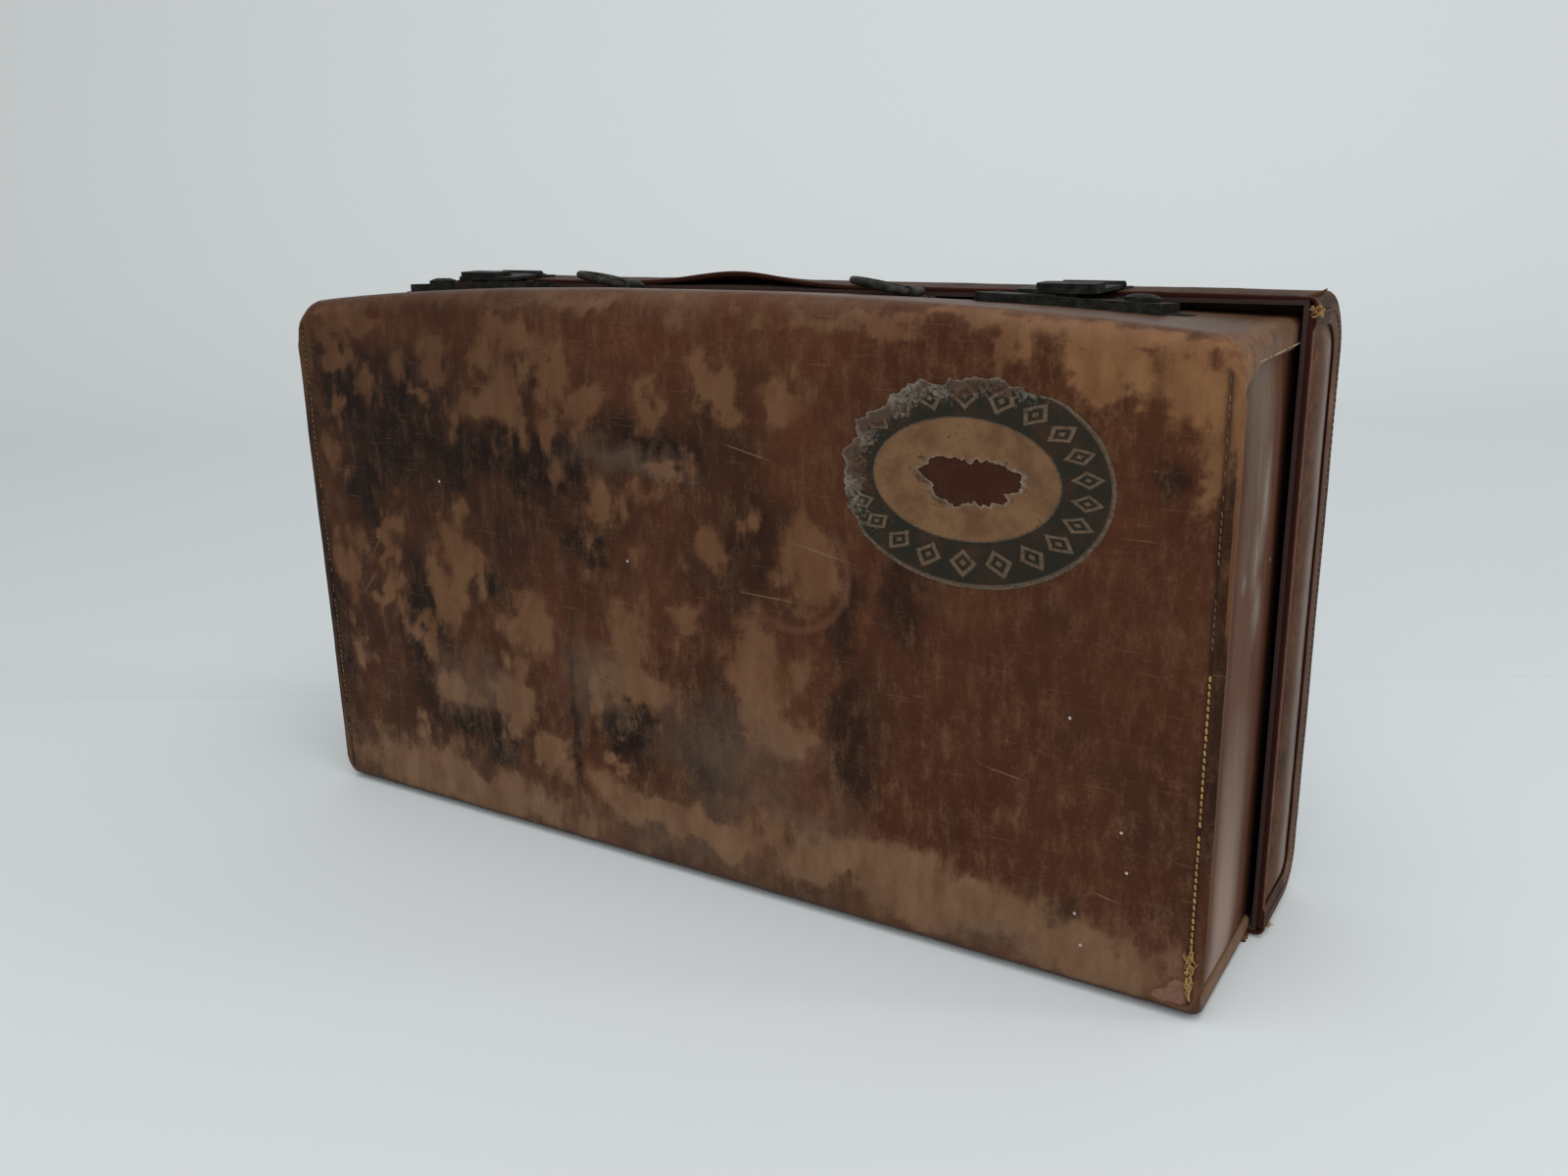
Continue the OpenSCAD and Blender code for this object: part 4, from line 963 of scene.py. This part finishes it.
def lid_stitches(side, label):
    """A row along the turned edge of the lid's hide, round its end."""
    foot_r, edge_r = LID_FOOT_R - STITCH_INSET, LID_EDGE_R - STITCH_INSET
    foot_y, edge_y = BACK_Y - LID_FOOT_R, BACK_Y - LID_EDGE_R
    foot_z, edge_z = WRAP_Z + LID_FOOT_R, LID_H - LID_EDGE_R
    line = [(y, WRAP_Z + STITCH_INSET) for y in even(RIM_Y + 4, foot_y, 1)]
    line += [(foot_y + foot_r * math.sin(a), foot_z - foot_r * math.cos(a)) for a in np.linspace(0, HALF_PI, 20)[1:]]
    line += [(BACK_Y - STITCH_INSET, z) for z in even(foot_z, edge_z, 1)[1:]]
    line += [(edge_y + edge_r * math.cos(a), edge_z + edge_r * math.sin(a)) for a in np.linspace(0, HALF_PI, 30)[1:]]
    line += [(y, LID_H - STITCH_INSET) for y in even(edge_y, RIM_Y + 4, 1)[1:]]
    line = np.array(line)
    step = np.concatenate([[0], np.cumsum(np.hypot(*np.diff(line, axis=0).T))])
    at = even(0, step[-1], PITCH)
    ys, zs = np.interp(at, step, line[:, 0]), np.interp(at, step, line[:, 1])
    points = lower(stack(side * (LID_HALF + 0.05), ys, zs), lid_sag)
    stitch_row("lid_end_stitches_" + label, points, (side, 0, 0), "lid", THREAD_DARK, 2.8)


lid_stitches(-1, "left")
lid_stitches(1, "right")


# Frayed thread and torn ends
def strand(start, end, wander):
    """A loose thread between two points."""
    start, end = Vector(start), Vector(end)
    shift = Vector((random.random(), random.random(), random.random())) * 50
    return [start.lerp(end, t) + noise.noise_vector(shift + Vector((t * 2.6, 0, 0))) * wander
            for t in np.linspace(0, 1, 9)]


def frayed_seam():
    """The seam's thick bunch of old thread at the front's bottom right corner."""
    paths = []
    for _ in range(34):
        z = random.uniform(11, 44)
        spread = 1.7 if z > 30 else 1.1
        x = SEAM_X + random.uniform(-1, 1) * spread
        y = FRONT_Y - random.uniform(0.2, 1.2)
        end = x + random.uniform(-1.6, 1.6), y, min(z + random.uniform(3, 11), 47)
        paths.append(strand((x, y, z), end, 2.4))
    obj = tubes("frayed_seam_thread", paths, 0.36, THREAD)
    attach(obj, "base")


def tangle(name, at, reach, count, body):
    """Short curled threads that stand out of a worn corner."""
    paths = []
    for _ in range(count):
        a = Vector(at) + Vector([random.uniform(-0.35, 0.35) * reach for _ in range(3)])
        b = a + Vector([random.uniform(-1, 1) * reach * 0.8 for _ in range(3)])
        b.y = max(min(b.y, a.y + 0.4 * reach), a.y - 0.5 * reach)
        b.x = min(b.x, 332.5)
        paths.append([(p.x, p.y, max(p.z, 0.5)) for p in strand(a, b, 0.45 * reach)])
    obj = tubes(name, paths, 0.30, THREAD)
    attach(obj, body)


def leather_tip():
    """The dark sliver that stands up at the lid's right front corner."""
    paths = [[(321, 15.5, 363.6), (326, 15, 364.6), (330, 14.8, 366.0), (333, 14.6, 368.2)],
             [(325, 15.5, 363.8), (329, 15, 364.6), (331.5, 15, 365.6)]]
    obj = tubes("lid_corner_tip", paths, 0.9, LID)
    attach(obj, "lid")


TONGUE_ROOT = 310.3


def hinge_tongue(side, y_from, y_to, body, label):
    """A ragged end of the hinge strip that shows beside the case."""
    ys = even(y_from, y_to, 0.9)[:, None]
    ragged = fractal(stack(0, ys, 0), 5, 3, 31 + side)
    ends = 321.5 + 3.2 * ragged - 3.5 * smooth(np.abs(ys - RIM_Y), 4, 12)
    share = np.linspace(0, 1, 9)[None, :]
    x = side * (TONGUE_ROOT + (ends - TONGUE_ROOT) * share)
    curl = 0.25 * fractal(stack(x, ys, 0), 4, 2, 33)
    outer = stack(x, ys, 1.7 + np.minimum(curl, 0.2))
    obj = sheet("hinge_tongue_" + label, outer, stack(x, ys, 0.15), LID, {"tan": 0.3}, bulge=0.2)
    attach(obj, body)


frayed_seam()
tangle("corner_threads_top", (329.5, 14.5, 357), 5.0, 20, "lid")
tangle("corner_threads_foot", (329.0, 24, 5), 4.5, 14, "lid")
leather_tip()
for side, label in ((-1, "left"), (1, "right")):
    hinge_tongue(side, 4, RIM_Y - HINGE_GAP, "base", "base_" + label)
    hinge_tongue(side, RIM_Y + HINGE_GAP, 24, "lid", "lid_" + label)


# The torn paper label
HOLE_AT, HOLE_HALF = (189, 276), (26, 11.5)


def torn_label():
    angles = np.linspace(0, 2 * math.pi, 300, endpoint=False)[:, None]
    around = np.cos(angles), np.sin(angles)
    ring = stack(around[0], 0, around[1])
    upper_left = smooth(np.cos(angles - math.radians(132)), -0.15, 0.75)
    tear = upper_left * (0.045 + 0.11 * np.abs(fractal(ring, 0.55, 2, 41)) + 0.05 * fractal(ring, 0.10, 3, 42))
    tear = tear + 0.004 * fractal(ring, 0.2, 2, 43)
    rim = [c + h * u * (1 - tear) for c, h, u in zip(LABEL_AT, LABEL_HALF, around)]
    squared = sum(np.abs(u / h) ** 3 for u, h in zip(around, HOLE_HALF)) ** (-1 / 3)
    reach = squared * (1 + 0.34 * fractal(ring, 0.42, 2, 44) + 0.07 * fractal(ring, 0.10, 2, 45))
    hole = [c + reach * u for c, u in zip(HOLE_AT, around)]
    share = np.linspace(0, 1, 26)[None, :]
    x, z = (h + (r - h) * share for h, r in zip(hole, rim))
    lift = 0.12 + 0.25 * smooth(share, 0.93, 1) * upper_left + 0.2 * smooth(share, 0.08, 0)
    front = FRONT_Y - front_relief(x, z)
    outer, inner = stack(x, front - lift - 0.16, z), stack(x, front - lift + 0.1, z)
    near_hole = smooth(share, 0.24, 0.0) * smooth(np.sin(2 * angles + 1.2), -0.3, 0.9)
    scuff = 0.62 * upper_left * smooth(share, 0.6, 1.0) + 0.42 * near_hole + 0.12 + 0.12 * smooth(-x, -200, -120)
    torn = np.maximum(smooth(share, 0.955, 1) * (0.25 + 0.75 * upper_left), smooth(share, 0.05, 0))
    obj = ring_sheet("torn_label", outer, inner, LABEL, {"scuff": scuff, "torn": torn})
    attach(obj, "base")


torn_label()


# Hardware and hidden layers
def dress(names, material, bevel=0.0):
    for name in names:
        obj = nodes[name]
        obj.data.materials.clear()
        obj.data.materials.append(material)
        if bevel:
            soft = obj.modifiers.new("soft_edges", "BEVEL")
            soft.width = bevel * MM
            soft.segments = 2
            soft.limit_method = "ANGLE"
            soft.angle_limit = math.radians(50)


SIDES = ("left", "right")
dress([f"{n}_{s}" for n in ("lock_case", "hasp", "hasp_plate", "lock_knob") for s in SIDES], IRON, 0.35)
dress([f"{n}_{s}" for n in ("lock_rivets", "staple_rivets", "hasp_rivets", "hasp_pin") for s in SIDES], IRON)
dress([f"{n}_{s}" for n in ("ring_staple", "handle_ring") for s in SIDES], RING_IRON)
dress([f"latch_bolt_{s}" for s in SIDES], STEEL)
dress(["front_board", "bottom_board", "end_board_right", "lid_end_board_right"], BOARD)
for hidden in ("top_board", "end_board_left"):
    sunk_copy(hidden, base_sag, BOARD, "base")
for hidden in ("lid_board", "lid_end_board_left"):
    sunk_copy(hidden, lid_sag, BOARD, "lid")
sunk_copy("base_lining", base_sag, CLOTH, "base")
sunk_copy("lid_lining", lid_sag, CLOTH, "lid")
dress(["hinge_leather_base", "hinge_leather_lid"], LID)


# Floor, light and camera; all but the floor's finish in metres
FLOOR_LINE_YAW, FLOOR_LINE_AWAY = math.radians(31.1), 263


def pale_floor():
    """Painted floor and wall, with the faint line where the photograph's floor ends."""
    m = Finish("pale_floor", (0.630, 0.668, 0.680), 0.85, specular=0.1)
    x, y, _ = m.axes()
    m.paint(m.noise(600, 3, 0.5), (0.660, 0.698, 0.710))
    m.paint(abs(y - FLOOR_LINE_AWAY).ramp(4, 0, 0, 0.10), (0.40, 0.43, 0.44))
    m.paint(y.ramp(FLOOR_LINE_AWAY - 3, FLOOR_LINE_AWAY + 3, 0, 0.05), (0.45, 0.49, 0.50))
    # The wall, paler than the floor, is painted lighter towards the right: painted light.
    m.paint(y.ramp(500, 3000), m.mix(x.ramp(-2000, 3000), (0.79, 0.82, 0.82), (0.93, 0.97, 0.97)))
    return m.finish()


def build_stage():
    wall_y, turn_r, half = 3.0, 1.4, 7.0
    turn = [(wall_y - turn_r + turn_r * math.sin(a), turn_r * (1 - math.cos(a)))
            for a in np.linspace(0, HALF_PI, 25)]
    line = [(-5.0, 0.0), *turn, (wall_y, 5.0)]
    verts = [(x, y, z) for y, z in line for x in (-half, half)]
    faces = [(2 * k, 2 * k + 1, 2 * k + 3, 2 * k + 2) for k in range(len(line) - 1)]
    mesh = bpy.data.meshes.new("studio_cove")
    mesh.from_pydata(verts, [], faces)
    mesh.shade_smooth()
    mesh.materials.append(pale_floor())
    cove = link("studio_cove", mesh)
    cove.matrix_world = Matrix.Rotation(FLOOR_LINE_YAW, 4, "Z")


build_stage()


def area_light(name, at, aim, size, power):
    data = bpy.data.lights.new(name, "AREA")
    data.shape = "RECTANGLE"
    data.size, data.size_y = size
    data.energy = power
    lamp = link(name, data)
    lamp.location = at
    lamp.rotation_euler = (Vector(aim) - Vector(at)).to_track_quat("-Z", "Y").to_euler()


area_light("ceiling_light", (0.6, -0.7, 2.5), (0.1, 0.1, 0), (2.4, 2.0), 30)
area_light("front_fill", (1.2, -2.6, 1.8), (0, 0, 0.15), (2.0, 1.6), 24)
area_light("side_strip", (2.6, 0.9, 0.9), (0.33, 0, 0.2), (0.35, 1.5), 12)

world = bpy.data.worlds.new("pale_room")
scene.world = world
world.use_nodes = True
sky = world.node_tree.nodes["Background"].inputs
sky["Color"].default_value = (0.985, 0.995, 1.0, 1)
sky["Strength"].default_value = 0.55
scene.view_settings.view_transform = "Standard"

# Camera, solved from the case's straight edges in the photograph
CAMERA_AT = (0.4701, -0.7194, 0.4243)
CAMERA_YAW, CAMERA_PITCH, CAMERA_ROLL = (math.radians(a) for a in (-32.19, -16.50, -1.29))
FOCAL_SHARE = 1391.2 / 1600

optics = bpy.data.cameras.new("photo_camera")
optics.sensor_fit = "HORIZONTAL"
optics.sensor_width = 36
optics.lens = 36 * FOCAL_SHARE
optics.clip_start = 0.01
camera = link("photo_camera", optics)
turns = [Matrix.Rotation(a, 4, axis) for a, axis in
         ((-CAMERA_YAW, "Z"), (HALF_PI + CAMERA_PITCH, "X"), (CAMERA_ROLL, "Z"))]
camera.matrix_world = Matrix.Translation(CAMERA_AT) @ turns[0] @ turns[1] @ turns[2]
scene.camera = camera
